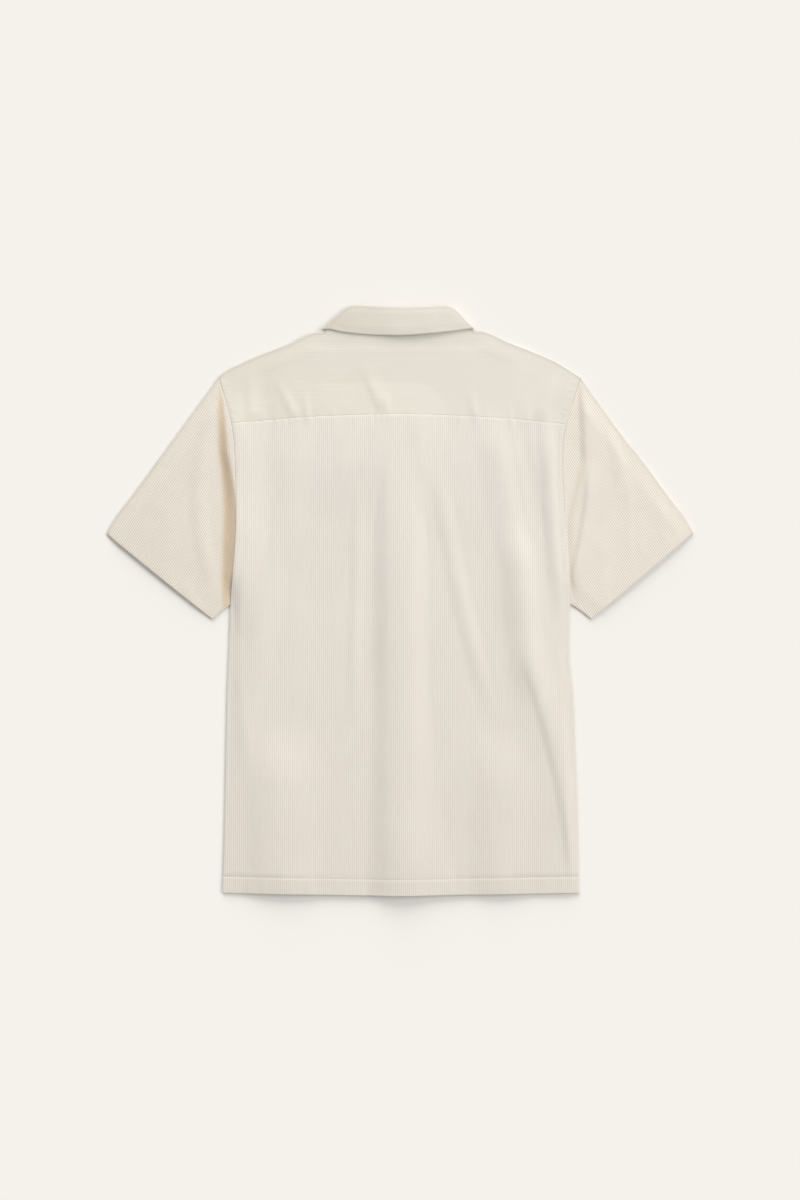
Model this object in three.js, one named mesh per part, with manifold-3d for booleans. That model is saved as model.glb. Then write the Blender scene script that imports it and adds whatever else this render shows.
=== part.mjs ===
// Short-sleeved shirt of ribbed jersey with an open apache collar, laid face down on a flat surface.
// Millimetres. X runs across the shirt, Y from the hem to the collar, Z up from the surface.
// The wearer's left is at -X, because the back of the shirt is uppermost.
import * as THREE from "three";
import { mergeVertices } from "three/addons/utils/BufferGeometryUtils.js";
import Module from "manifold-3d";

const wasm = await Module();
wasm.setup();

// Cloth
const WALL = 1.1;
const SEAM_GAP = 0.3;
const ARMHOLE_GAP = 0.45;
const RIB_PITCH = 2.62;
const RIB_HEIGHT = 0.4;
const WELT_WIDTH = 6;
const WELT_HEIGHT = 0.5;

// Buttons and the strip that they close
const BUTTON_DIAMETER = 11;
const BUTTON_THICKNESS = 2.4;
const BUTTON_RIM = 1.6;
const BUTTON_COUNT = 6;
const BUTTON_TOP_Y = 188;
const BUTTON_SPACING = 92;
const BUTTON_SIDES = 18;
const PLACKET_HALF = 13;
const PLACKET_FOOT = 34;
const PLACKET_LIFT = BUTTON_THICKNESS + SEAM_GAP + 0.1;
const OVERLAP_STEP = WALL + SEAM_GAP;

// Collar
const COLLAR_WALL = 1.6;
const STAND_UNDERSIDE = 3.6;
const FALL_UNDERSIDE = 5.6;
const COLLAR_TOP = FALL_UNDERSIDE + COLLAR_WALL;
const NECK_SEAM_Y = 349;
const LEAF_LIFT = COLLAR_WALL + SEAM_GAP;
const V_FOOT_Y = 196;
const V_TOP = { x: 60, y: 347 };

// How far the layer on top stands off the fronts beneath it
const LOFT = 1.3;
const CROWN = 0.7;
const FRONT_INSET = 0.8;
const EDGE_ROLL = 16;
const ARMHOLE_ROLL = 24;

// Sides of the body from the hem to the tips of the shoulders, armholes included
const BODY_EDGE = [
  { y: -378, left: -227.4, right: 229.4 },
  { y: -325, left: -225.6, right: 228.5 },
  { y: -256, left: -224.1, right: 226.8 },
  { y: -150, left: -221.8, right: 223.2 },
  { y: -51, left: -218.4, right: 216.4 },
  { y: -6, left: -216.8, right: 217.6 },
  { y: 60, left: -211.7, right: 214.4 },
  { y: 128, left: -209.2, right: 209.6 },
  { y: 190, left: -210.8, right: 207.8 },
  { y: 226, left: -215.4, right: 212.9 },
  { y: 285.6, left: -231.4, right: 231.2 },
];

// Top edge of the shirt from one shoulder tip to the other, dipping under the collar at the neck
const SHOULDER_EDGE = [
  { x: -231.4, y: 285.4 },
  { x: -215.4, y: 297.2 },
  { x: -183, y: 312.6 },
  { x: -141, y: 328.8 },
  { x: -106, y: 343.2 },
  { x: -99, y: 342.6 },
  { x: -91, y: 348 },
  { x: -80, y: NECK_SEAM_Y },
  { x: 76, y: NECK_SEAM_Y },
  { x: 87, y: 348 },
  { x: 94.6, y: 343.4 },
  { x: 101, y: 343.4 },
  { x: 139, y: 328.4 },
  { x: 176, y: 314 },
  { x: 212.6, y: 296.2 },
  { x: 231.2, y: 284.4 },
];

const YOKE_SEAM = [
  { x: -215.4, y: 226 },
  { x: -141, y: 232.4 },
  { x: -106, y: 234.8 },
  { x: -44, y: 237 },
  { x: 4, y: 237.8 },
  { x: 50, y: 236.8 },
  { x: 101, y: 234.4 },
  { x: 139, y: 232 },
  { x: 212.6, y: 225 },
];

const HEM = [
  { x: -228, y: -373.9 },
  { x: -127, y: -375.6 },
  { x: 0, y: -377.6 },
  { x: 77, y: -376.2 },
  { x: 231, y: -373.9 },
];

// Creases of the upper layer: a line from its head to its foot, half its width and its height
const BACK_CREASES = [
  { headX: -54, headY: 110, footX: -54, footY: -120, half: 9, height: 0.8 },
  { headX: 60, headY: 150, footX: 94, footY: -230, half: 20, height: 1.5 },
  { headX: 150, headY: 130, footX: 158, footY: -10, half: 26, height: 1.8 },
  { headX: 158, headY: 20, footX: 206, footY: -230, half: 30, height: 1.9 },
  { headX: -112, headY: 100, footX: -141, footY: -150, half: 16, height: -0.9 },
  { headX: -158, headY: 110, footX: -172, footY: -190, half: 18, height: 0.8 },
  { headX: -200, headY: 240, footX: -203, footY: 10, half: 22, height: 1.9 },
  { headX: 176, headY: 225, footX: 188, footY: 60, half: 16, height: -0.9 },
  { headX: -184, headY: -200, footX: -184, footY: -378, half: 24, height: -0.8 },
  { headX: -188, headY: 285, footX: -188, footY: 232, half: 11, height: 0.8 },
  { headX: -124, headY: 268, footX: -124, footY: 232, half: 9, height: -0.5 },
  { headX: -48, headY: 286, footX: -28, footY: 258, half: 8, height: 0.5 },
  { headX: 174, headY: 272, footX: 164, footY: 230, half: 12, height: 0.8 },
];

// Sleeves: the corners of the cuff, how far the upper fold bows out of a straight line at each
// share of its length, the lift beside the armhole and the share that is lost in the valley there
const SLEEVES = {
  left: {
    cuffOuter: { x: -374, y: 83.2 },
    cuffInner: { x: -239.7, y: -24.8 },
    upperBow: [
      { share: 0, out: 0 },
      { share: 0.28, out: 2.6 },
      { share: 0.55, out: 3.4 },
      { share: 0.88, out: 6 },
      { share: 1, out: 1.6 },
    ],
    headLift: 3.2,
    valley: 1.0,
    edgeKey: "left",
    outward: -1,
  },
  right: {
    cuffOuter: { x: 374.6, y: 84.9 },
    cuffInner: { x: 244.2, y: -24.4 },
    upperBow: [
      { share: 0, out: 0 },
      { share: 0.1, out: -0.9 },
      { share: 0.28, out: -0.6 },
      { share: 0.55, out: 2.2 },
      { share: 0.88, out: 3.9 },
      { share: 1, out: 1 },
    ],
    headLift: 1.5,
    valley: 0.8,
    edgeKey: "right",
    outward: 1,
  },
};
const SLEEVE_CUFF_BOW = 0.8;
const SLEEVE_LOFT = 2.2;
const SLEEVE_VALLEY_WIDTH = 26;
const SLEEVE_FOLD_ROUND = 3;
const SLEEVE_PLAIN_STOPS = [40, 90, 130];
const SLEEVE_STATIONS = [0, 0.1, 0.28, 0.55, 0.88, 1];

// Ridges and troughs of a sleeve, by the share of its length from armhole to cuff and the distance
// from its upper fold
const SLEEVE_CREASES = [
  { headAlong: 0.0, headAcross: 26, footAlong: 0.55, footAcross: 92, half: 20, height: 1.4 },
  { headAlong: 0.0, headAcross: 8, footAlong: 0.5, footAcross: 52, half: 12, height: -0.9 },
  { headAlong: 0.35, headAcross: 120, footAlong: 1.0, footAcross: 128, half: 18, height: 0.9 },
  { headAlong: 0.45, headAcross: 78, footAlong: 1.0, footAcross: 84, half: 14, height: -0.8 },
];

// Lower edge of the collar's fall, and its fold line with the diagonals at both sides of the neck
const FALL_EDGE = [
  { x: -99, y: 345.6 },
  { x: -91, y: 346.8 },
  { x: -66, y: 341.6 },
  { x: -32, y: 338.6 },
  { x: 0, y: 337.9 },
  { x: 36, y: 340.6 },
  { x: 66, y: 344 },
  { x: 94.4, y: 346.8 },
];
const COLLAR_FOLD = [
  { x: -99, y: 346.4 },
  { x: -65, y: 376 },
  { x: -58, y: 377.3 },
  { x: 0, y: 375.4 },
  { x: 60, y: 376.8 },
  { x: 70, y: 375 },
  { x: 94.4, y: 347.6 },
];

// Open leaf of the collar on the fronts, from the neck side round its point to the foot of the V
const LEAF = {
  point: { x: 124, y: 252 },
  notch: { x: 60, y: 264 },
  foot: { x: 12, y: 224 },
};

const lerp = (from, to, share) => from + (to - from) * share;

const clamp = (value, low, high) => Math.min(high, Math.max(low, value));

// Smooth step from 0 at one value to 1 at another
function ease(value, zeroAt, oneAt) {
  const share = clamp((value - zeroAt) / (oneAt - zeroAt), 0, 1);
  return share * share * (3 - 2 * share);
}

// Straight-line reading of a table whose rows are in rising order of the key column
function read(table, key, column, at) {
  const last = table.length - 1;
  let row = 0;
  while (row < last - 1 && table[row + 1][key] < at) row += 1;
  const from = table[row];
  const to = table[row + 1];
  const share = clamp((at - from[key]) / (to[key] - from[key]), 0, 1);
  return lerp(from[column], to[column], share);
}

const hemY = (x) => read(HEM, "x", "y", x);

const yokeSeamY = (x) => read(YOKE_SEAM, "x", "y", x);

const shoulderY = (x) => read(SHOULDER_EDGE, "x", "y", x);

const fallEdgeY = (x) => read(FALL_EDGE, "x", "y", x);

const collarFoldY = (x) => read(COLLAR_FOLD, "x", "y", x);

const bodyEdgeX = (y, side) => read(BODY_EDGE, "y", side, y);

// Distance in from the nearer side of the body
const insideSide = (x, y) => Math.min(x - bodyEdgeX(y, "left"), bodyEdgeX(y, "right") - x);

// Share of a crease's full height at a point: full on its line, nothing past its half width or ends
function creaseShare(along, offset, half) {
  const reach = ease(along, -0.12, 0.2) * ease(along, 1.12, 0.8);
  return reach * ease(Math.abs(offset), half, 0);
}

function creaseHeight(creases, x, y) {
  let height = 0;
  for (const crease of creases) {
    const runX = crease.footX - crease.headX;
    const runY = crease.footY - crease.headY;
    const length = Math.hypot(runX, runY);
    const fromX = x - crease.headX;
    const fromY = y - crease.headY;
    const along = (fromX * runX + fromY * runY) / (length * length);
    const offset = (fromX * runY - fromY * runX) / length;
    height += crease.height * creaseShare(along, offset, crease.half);
  }
  return height;
}

// Lift of the fronts off the surface where the collar's leaves lie beneath them
function leafLift(x, y) {
  return LEAF_LIFT * ease(Math.abs(x), 156, 134) * ease(y, 196, 216);
}

// Lift of the fronts where the buttons lie beneath the placket, lower at the hem
function placketLift(x, y) {
  const alongPlacket = lerp(1.0, PLACKET_LIFT, ease(y, -370, -300));
  return alongPlacket * ease(Math.abs(x), PLACKET_FOOT, PLACKET_HALF) * ease(y, 224, 206);
}

// Underside of a front, whose overlap lies on the other front where it is the upper one
function frontUnderside(x, y, isUpper) {
  const lift = Math.max(leafLift(x, y), placketLift(x, y));
  const overlap = ease(Math.abs(x), PLACKET_FOOT, PLACKET_HALF) * ease(y, 240, 226);
  return lift + (isUpper ? OVERLAP_STEP * overlap : 0);
}

// Highest level of the fronts, widened so that the layer above clears them
function frontsTop(x, y) {
  const collarZone = LEAF_LIFT * ease(Math.abs(x), 190, 140) * ease(y, 176, 200);
  const leftFoot = lerp(46, 44, ease(y, -370, 200));
  const rightFoot = lerp(60, 44, ease(y, -370, 200));
  const foot = x < 0 ? leftFoot : rightFoot;
  const crestLift = lerp(1.2, PLACKET_LIFT, ease(y, -370, -300)) + OVERLAP_STEP;
  const crest = crestLift * ease(Math.abs(x), foot, PLACKET_HALF + 1) * ease(y, 262, 232);
  return WALL + Math.max(collarZone, crest);
}

// Underside of the back and the yoke: on the fronts, with loft and creases that die out at the edges
function backUnderside(x, y) {
  const inside = insideSide(x, y);
  const belowShoulder = shoulderY(x) - y;
  const atArmhole = x < 0 ? 1 : lerp(0.4, 1, ease(inside, 0, ARMHOLE_ROLL));
  const atSide = lerp(ease(inside, 0, EDGE_ROLL), atArmhole, ease(y, -51, 60));
  const atShoulder = ease(belowShoulder, 0, EDGE_ROLL);
  const crown = CROWN * ease(Math.abs(x), 230, 40) * ease(y, 240, 60);
  const free = Math.max(0, LOFT + crown + creaseHeight(BACK_CREASES, x, y));
  const underCollar = 1 - ease(Math.abs(x), 118, 96) * ease(y, 318, 334);
  const rest = frontsTop(x, y) + SEAM_GAP + free * atSide * atShoulder * underCollar;
  return lerp(STAND_UNDERSIDE, rest, underCollar);
}

// Topstitched strip of doubled cloth along the armholes, on the body's side of the seam
function weltHeight(x, y) {
  const inside = insideSide(x, y);
  return WELT_HEIGHT * ease(inside, WELT_WIDTH + 1.5, WELT_WIDTH) * ease(y, 0, 30);
}

// Collects the points and faces of one closed wall
class Wall {
  constructor() {
    this.points = [];
    this.faces = [];
  }

  // Adds a line of points, each given as where it lies and its key across the strip
  line(samples) {
    return samples.map(({ at, key }) => {
      this.points.push(...at);
      return { id: this.points.length / 3 - 1, key };
    });
  }

  // Fills the strip between two lines that run the same way, stepping along whichever key is behind
  strip(near, far) {
    let i = 0;
    let j = 0;
    while (i < near.length - 1 || j < far.length - 1) {
      const nearLeads = j === far.length - 1 || (i < near.length - 1 && near[i + 1].key <= far[j + 1].key);
      if (nearLeads) {
        this.face(near[i].id, near[i + 1].id, far[j].id);
        i += 1;
      } else {
        this.face(near[i].id, far[j + 1].id, far[j].id);
        j += 1;
      }
    }
  }

  face(a, b, c) {
    if (a !== b && b !== c && c !== a) this.faces.push([a, b, c]);
  }

  // Volume enclosed, negative where the faces point inwards
  signedVolume() {
    const corner = (id) => new THREE.Vector3().fromArray(this.points, id * 3);
    return this.faces.reduce((sum, [a, b, c]) => sum + corner(a).dot(corner(b).cross(corner(c))) / 6, 0);
  }

  geometry() {
    const outward = this.signedVolume() > 0;
    const index = this.faces.flatMap(([a, b, c]) => (outward ? [a, b, c] : [a, c, b]));
    return new THREE.BufferGeometry()
      .setAttribute("position", new THREE.Float32BufferAttribute(this.points, 3))
      .setIndex(index);
  }
}

// Positions of rib crests and grooves between two edges, the edges included
function ribStops(low, high) {
  const step = RIB_PITCH / 2;
  const margin = step * 0.4;
  const stops = [{ key: low, rise: 0 }];
  for (let n = Math.ceil((low + margin) / step); n * step < high - margin; n += 1) {
    stops.push({ key: n * step, rise: n % 2 === 0 ? RIB_HEIGHT : 0 });
  }
  stops.push({ key: high, rise: 0 });
  return stops;
}

// Evenly spaced positions between two edges, for the plain sides of a wall
function evenStops(low, high, count) {
  return Array.from({ length: count + 1 }, (_, n) => ({ key: lerp(low, high, n / count), rise: 0 }));
}

// Chosen positions between two edges, the edges included
function chosenStops(low, high, chosen) {
  const margin = 2;
  const kept = chosen.filter((key) => key > low + margin && key < high - margin);
  return [low, ...kept, high].map((key) => ({ key, rise: 0 }));
}

// Closed sheet of cloth from rows of upper and lower points
function sheetFrom(rows) {
  const wall = new Wall();
  const uppers = rows.map((row) => wall.line(row.upper));
  const lowers = rows.map((row) => wall.line(row.lower));
  const last = rows.length - 1;
  for (let n = 0; n < last; n += 1) {
    wall.strip(uppers[n], uppers[n + 1]);
    wall.strip(lowers[n + 1], lowers[n]);
  }
  const edge = (lines, pick) => lines.map((line, n) => ({ id: pick(line).id, key: n }));
  const first = (line) => line[0];
  const final = (line) => line[line.length - 1];
  wall.strip(edge(uppers, first), edge(lowers, first));
  wall.strip(edge(lowers, final), edge(uppers, final));
  wall.strip(lowers[0], uppers[0]);
  wall.strip(uppers[last], lowers[last]);
  return wall.geometry();
}

// One row of a ribbed sheet: ribs on its upper side, a plain underside
function ribbedRow(low, high, plainCount, place, underside, thickness, welt) {
  const upper = ribStops(low, high).map(({ key, rise }) => {
    const [x, y] = place(key);
    return { key, at: [x, y, underside(x, y) + thickness + rise + welt(x, y)] };
  });
  const lower = evenStops(low, high, plainCount).map(({ key }) => {
    const [x, y] = place(key);
    return { key, at: [x, y, underside(x, y)] };
  });
  return { upper, lower };
}

// Back panel, with upright ribs cut off by the side seams and armholes
function backGeometry() {
  const sideX = 218;
  const footY = hemY(-sideX);
  const headY = yokeSeamY(-sideX);
  const levels = BODY_EDGE.map(({ y }) => clamp((y - footY) / (headY - footY), 0, 1)).slice(0, -1);
  const rows = levels.map((share) => {
    const rowY = (x) => lerp(hemY(x), yokeSeamY(x) - SEAM_GAP, share);
    const low = bodyEdgeX(rowY(-sideX), "left");
    const high = bodyEdgeX(rowY(sideX), "right");
    return ribbedRow(low, high, 26, (x) => [x, rowY(x)], backUnderside, WALL, weltHeight);
  });
  return sheetFrom(rows);
}

// Yoke, with ribs across the shoulders
function yokeGeometry() {
  const tip = 4;
  const left = BODY_EDGE.at(-1).left + tip;
  const right = BODY_EDGE.at(-1).right - tip;
  const between = [-215.4, -183, -141, -106, -99, -91, -44, 4, 50, 87, 94.6, 101, 139, 176, 212.6];
  const armhole = BODY_EDGE.slice(-2);
  const bottomY = (x) => {
    const side = x < 0 ? "left" : "right";
    const seamEnd = Math.abs(armhole[0][side]);
    if (Math.abs(x) <= seamEnd) return yokeSeamY(x);
    const share = (Math.abs(x) - seamEnd) / (Math.abs(armhole[1][side]) - seamEnd);
    return lerp(yokeSeamY(x), armhole[1].y, share);
  };
  const rows = [left, ...between, right].map((x) =>
    ribbedRow(bottomY(x), shoulderY(x), 7, (y) => [x, y], backUnderside, WALL, weltHeight),
  );
  return sheetFrom(rows);
}

// A front: plain, resting on the surface, from its side to its placket and the edge of the V
function frontGeometry(side) {
  const isLeft = side === "left";
  const mirror = isLeft ? 1 : -1;
  const bodyStations = [-372, -325, -290, -256, -150, -51, -6, 60, 128, 190];
  const chestStations = [196, 206, 216, 226, 240, 262, 285, 300, 315, 330, 343];
  const lines = [-190, -158, -134, -84, -48, -PLACKET_FOOT, -PLACKET_HALF, 0].map((x) => x * mirror);
  const shoulder = SHOULDER_EDGE.filter((point) => Math.sign(point.x) === -mirror && Math.abs(point.x) > 100)
    .sort((a, b) => a.y - b.y);
  const outerX = (y) => {
    const edge = y < 285 ? bodyEdgeX(y, side) : read(shoulder, "y", "x", y);
    return edge + FRONT_INSET * mirror;
  };
  const innerX = (y) => {
    const share = clamp((y - V_FOOT_Y) / (V_TOP.y - V_FOOT_Y), 0, 1);
    return lerp(PLACKET_HALF, -V_TOP.x, share) * mirror;
  };
  const rows = [...bodyStations, ...chestStations].map((y) => {
    const low = Math.min(outerX(y), innerX(y));
    const high = Math.max(outerX(y), innerX(y));
    const stops = chosenStops(low, high, isLeft ? lines : [...lines].reverse());
    const row = (level) =>
      stops.map(({ key }) => ({ key, at: [key, y, frontUnderside(key, y, !isLeft) + level] }));
    return { upper: row(WALL), lower: row(0) };
  });
  return sheetFrom(rows);
}

// Frame of a sleeve: along runs from the shoulder tip down the upper fold, across runs to the lower fold
function sleeveFrame(sleeve) {
  const tip = { x: BODY_EDGE.at(-1)[sleeve.edgeKey], y: BODY_EDGE.at(-1).y };
  const runX = sleeve.cuffOuter.x - tip.x;
  const runY = sleeve.cuffOuter.y - tip.y;
  const length = Math.hypot(runX, runY);
  const along = { x: runX / length, y: runY / length };
  const across = { x: along.y * sleeve.outward, y: -along.x * sleeve.outward };
  const toFrame = ({ x, y }) => ({
    along: (x - tip.x) * along.x + (y - tip.y) * along.y,
    across: (x - tip.x) * across.x + (y - tip.y) * across.y,
  });
  const place = (s, t) => [tip.x + along.x * t + across.x * s, tip.y + along.y * t + across.y * s];
  return { length, toFrame, place };
}

// Sleeve: a flat tube, open at the cuff and at the armhole, with ribs along its upper side
function sleeveGeometry(sleeve) {
  const frame = sleeveFrame(sleeve);
  const gap = ARMHOLE_GAP * sleeve.outward;
  const armhole = BODY_EDGE.filter(({ y }) => y > -10)
    .map((row) => frame.toFrame({ x: row[sleeve.edgeKey] + gap, y: row.y }))
    .sort((a, b) => a.across - b.across);
  const cuffInner = frame.toFrame(sleeve.cuffInner);
  const armholeFoot = armhole.at(-1);
  const armholeAlong = (across) => read(armhole, "across", "along", across);
  const cuffAlong = (across) => {
    const share = across / cuffInner.across;
    return lerp(frame.length, cuffInner.along, share) + SLEEVE_CUFF_BOW * 4 * share * (1 - share);
  };
  const alongRow = (across, share) => lerp(armholeAlong(across), cuffAlong(across), share);

  // Underside of the sleeve's upper layer above its lower layer
  const upperGap = (across, share, width) => {
    const fromArmhole = alongRow(across, share) - armholeAlong(across);
    const head = sleeve.headLift * ease(fromArmhole, SLEEVE_VALLEY_WIDTH * 0.6, 0);
    const valley = lerp(1 - sleeve.valley, 1, ease(fromArmhole, 0, SLEEVE_VALLEY_WIDTH));
    let creases = 0;
    for (const crease of SLEEVE_CREASES) {
      const run = ease(share, crease.headAlong, crease.footAlong);
      const centre = lerp(crease.headAcross, crease.footAcross, run);
      const reach = ease(share, crease.headAlong - 0.15, crease.headAlong + 0.1);
      const fade = ease(share, crease.footAlong + 0.25, crease.footAlong);
      creases += crease.height * reach * fade * ease(Math.abs(across - centre), crease.half, 0);
    }
    const edges = ease(across, 0, EDGE_ROLL) * ease(across, width, width - EDGE_ROLL);
    return SEAM_GAP + edges * (head + Math.max(0, SLEEVE_LOFT * valley + creases * valley));
  };

  const wall = new Wall();
  const foldHeight = WALL + SEAM_GAP / 2;
  const rows = SLEEVE_STATIONS.map((share) => {
    const width = lerp(armholeFoot.across, cuffInner.across, share);
    const bow = -read(sleeve.upperBow, "share", "out", share);
    const point = (across, z) => [...frame.place(across, alongRow(clamp(across, 0, width), share)), z];
    const fold = (across, z) => ({ key: across, at: point(across, z) });
    const outerEnds = [fold(bow, foldHeight), fold(width, foldHeight)];
    const innerEnds = [fold(bow + WALL, foldHeight), fold(width - WALL, foldHeight)];
    const over = (stops, lift) =>
      stops.slice(1, -1).map(({ key, rise }) => ({
        key,
        at: point(key, WALL + upperGap(key, share, width) + lift + rise),
      }));
    const under = (stops, z) => stops.slice(1, -1).map(({ key }) => ({ key, at: point(key, z) }));
    const [outerA, outerB] = wall.line(outerEnds);
    const [innerA, innerB] = wall.line(innerEnds);
    const rim = WALL + SEAM_GAP;
    const plainStops = [bow + SLEEVE_FOLD_ROUND, ...SLEEVE_PLAIN_STOPS, width - SLEEVE_FOLD_ROUND];
    return {
      outerTop: [outerA, ...wall.line(over(ribStops(bow, width), WALL)), outerB],
      outerBottom: [outerA, ...wall.line(under(chosenStops(bow, width, plainStops), 0)), outerB],
      innerTop: [innerA, ...wall.line(over(evenStops(bow + rim, width - rim, 12), 0)), innerB],
      innerBottom: [innerA, ...wall.line(under(evenStops(bow + rim, width - rim, 6), WALL)), innerB],
    };
  });
  for (let n = 0; n < rows.length - 1; n += 1) {
    const here = rows[n];
    const next = rows[n + 1];
    wall.strip(here.outerTop, next.outerTop);
    wall.strip(next.outerBottom, here.outerBottom);
    wall.strip(next.innerTop, here.innerTop);
    wall.strip(here.innerBottom, next.innerBottom);
  }
  const head = rows[0];
  const cuff = rows.at(-1);
  wall.strip(head.innerTop, head.outerTop);
  wall.strip(head.outerBottom, head.innerBottom);
  wall.strip(cuff.outerTop, cuff.innerTop);
  wall.strip(cuff.innerBottom, cuff.outerBottom);
  return wall.geometry();
}

// Solid for joining, from a geometry with its shared points merged
function solidOf(geometry) {
  const bare = geometry.clone();
  bare.deleteAttribute("normal");
  bare.deleteAttribute("uv");
  const merged = mergeVertices(bare, 1e-4);
  return new wasm.Manifold(
    new wasm.Mesh({
      numProp: 3,
      vertProperties: new Float32Array(merged.attributes.position.array),
      triVerts: new Uint32Array(merged.index.array),
    }),
  );
}

function geometryOf(solid) {
  const mesh = solid.getMesh();
  return new THREE.BufferGeometry()
    .setAttribute("position", new THREE.Float32BufferAttribute(mesh.vertProperties, 3))
    .setIndex(Array.from(mesh.triVerts));
}

// Fall of the collar: ribbed sheet over the yoke, from its lower edge to just inside the fold
function fallGeometry() {
  const foldInset = 0.9;
  const stations = [-97.6, -91, -78, -65, -58, -32, 0, 34, 60, 70, 82, 93];
  const rows = stations.map((x) =>
    ribbedRow(
      fallEdgeY(x),
      Math.max(fallEdgeY(x) + 0.6, collarFoldY(x) - foldInset),
      3,
      (y) => [x, y],
      () => FALL_UNDERSIDE,
      COLLAR_WALL,
      () => 0,
    ),
  );
  return sheetFrom(rows);
}

// Rounded fold that joins the fall to the layer beneath it, along a run of the fold line
function foldGeometry(points, bottom) {
  const round = [
    { depth: 2.2, level: 0 },
    { depth: 0.5, level: 0 },
    { depth: 0.05, level: 0.25 },
    { depth: 0, level: 0.5 },
    { depth: 0.05, level: 0.75 },
    { depth: 0.5, level: 1 },
    { depth: 2.2, level: 1 },
  ];
  const wall = new Wall();
  const rings = points.map((point, n) => {
    const before = points[Math.max(0, n - 1)];
    const after = points[Math.min(points.length - 1, n + 1)];
    const length = Math.hypot(after.x - before.x, after.y - before.y);
    const inward = { x: (after.y - before.y) / length, y: -(after.x - before.x) / length };
    return wall.line(
      round.map(({ depth, level }, key) => ({
        key,
        at: [point.x + inward.x * depth, point.y + inward.y * depth, lerp(bottom, COLLAR_TOP, level)],
      })),
    );
  });
  const closed = (ring) => [...ring, { id: ring[0].id, key: ring.length }];
  for (let n = 0; n < rings.length - 1; n += 1) wall.strip(closed(rings[n]), closed(rings[n + 1]));
  const first = rings[0];
  const last = rings.at(-1);
  for (let n = 1; n < round.length - 1; n += 1) {
    wall.face(first[0].id, first[n + 1].id, first[n].id);
    wall.face(last[0].id, last[n].id, last[n + 1].id);
  }
  return wall.geometry();
}

// Flat layer of the collar with a given outline
function layerGeometry(outline, bottom) {
  const shape = new THREE.Shape(outline.map(({ x, y }) => new THREE.Vector2(x, y)));
  const flat = new THREE.ExtrudeGeometry(shape, { depth: COLLAR_WALL, bevelEnabled: false });
  return flat.translate(0, 0, bottom);
}

// Leaf under a front, between the diagonal at the neck side, its point and the foot of the V
function leafOutline(mirror, neck, corner) {
  const inset = 0.8;
  const flip = ({ x, y }) => ({ x: x * mirror, y });
  return [
    { x: neck.x - inset * mirror, y: neck.y },
    flip(LEAF.point),
    flip(LEAF.notch),
    flip(LEAF.foot),
    { x: corner.x, y: corner.y - inset },
  ];
}

// Collar in one piece: fall, fold, stand up to the neck seam, and both leaves
function collarGeometry() {
  const leftNeck = COLLAR_FOLD[0];
  const leftCorner = COLLAR_FOLD[2];
  const rightNeck = COLLAR_FOLD.at(-1);
  const rightCorner = COLLAR_FOLD.at(-3);
  const standInset = 0.9;
  const standTop = [-60, -30, 0, 30, 62].map((x) => ({ x, y: collarFoldY(x) - standInset }));
  const stand = [{ x: 64, y: NECK_SEAM_Y + SEAM_GAP }, { x: -62, y: NECK_SEAM_Y + SEAM_GAP }, ...standTop];
  const pieces = [
    foldGeometry(COLLAR_FOLD.slice(0, 3), 0),
    foldGeometry(COLLAR_FOLD.slice(2, 5), STAND_UNDERSIDE),
    foldGeometry(COLLAR_FOLD.slice(4), 0),
    layerGeometry(stand, STAND_UNDERSIDE),
    layerGeometry(leafOutline(-1, leftNeck, leftCorner), 0),
    layerGeometry(leafOutline(1, rightNeck, rightCorner), 0),
  ];
  const joined = pieces.reduce((whole, piece) => whole.add(solidOf(piece)), solidOf(fallGeometry()));
  return geometryOf(joined);
}

// Button resting on its face: a dished disc with a raised rim
function buttonGeometry() {
  const radius = BUTTON_DIAMETER / 2;
  const dish = 0.7;
  const profile = [
    [0, 0],
    [radius - 0.9, 0],
    [radius, 0.7],
    [radius, BUTTON_THICKNESS - 0.6],
    [radius - 0.6, BUTTON_THICKNESS],
    [radius - BUTTON_RIM, BUTTON_THICKNESS],
    [radius - BUTTON_RIM - 0.5, BUTTON_THICKNESS - dish],
    [0, BUTTON_THICKNESS - dish],
  ].map(([r, z]) => new THREE.Vector2(r, z));
  return new THREE.LatheGeometry(profile, BUTTON_SIDES).rotateX(Math.PI / 2);
}

function clothMaterial(color) {
  return new THREE.MeshStandardMaterial({ color, roughness: 0.92, metalness: 0, side: THREE.FrontSide });
}

function named(name, geometry, material) {
  const mesh = new THREE.Mesh(geometry, material);
  mesh.name = name;
  return mesh;
}

const shirt = new THREE.Group();
shirt.add(named("back", backGeometry(), clothMaterial(0xe6ded1)));
shirt.add(named("yoke", yokeGeometry(), clothMaterial(0xe5dfd3)));
shirt.add(named("front_left", frontGeometry("left"), clothMaterial(0xe4dccd)));
shirt.add(named("front_right", frontGeometry("right"), clothMaterial(0xe4dccd)));
shirt.add(named("sleeve_left", sleeveGeometry(SLEEVES.left), clothMaterial(0xe2dacb)));
shirt.add(named("sleeve_right", sleeveGeometry(SLEEVES.right), clothMaterial(0xe8e0d4)));
shirt.add(named("collar", collarGeometry(), clothMaterial(0xe1d9cc)));

const buttonMaterial = new THREE.MeshStandardMaterial({ color: 0xe9e1cf, roughness: 0.35, metalness: 0 });
for (let n = 0; n < BUTTON_COUNT; n += 1) {
  const button = named(`button_${n + 1}`, buttonGeometry(), buttonMaterial);
  button.position.set(0, BUTTON_TOP_Y - n * BUTTON_SPACING, BUTTON_THICKNESS);
  button.rotation.set(Math.PI, 0, 0);
  shirt.add(button);
}

export default shirt;
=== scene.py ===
"""Looks of a short-sleeved ribbed jersey shirt with an open apache collar, laid face down.

Tables are in millimetres on the laid shirt: X runs across it, Y from the hem to the collar and Z up
from the surface. Meshes are made in metres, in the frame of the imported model. The wearer's left is
at -X, because the back of the shirt is uppermost.
"""
import sys

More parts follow.
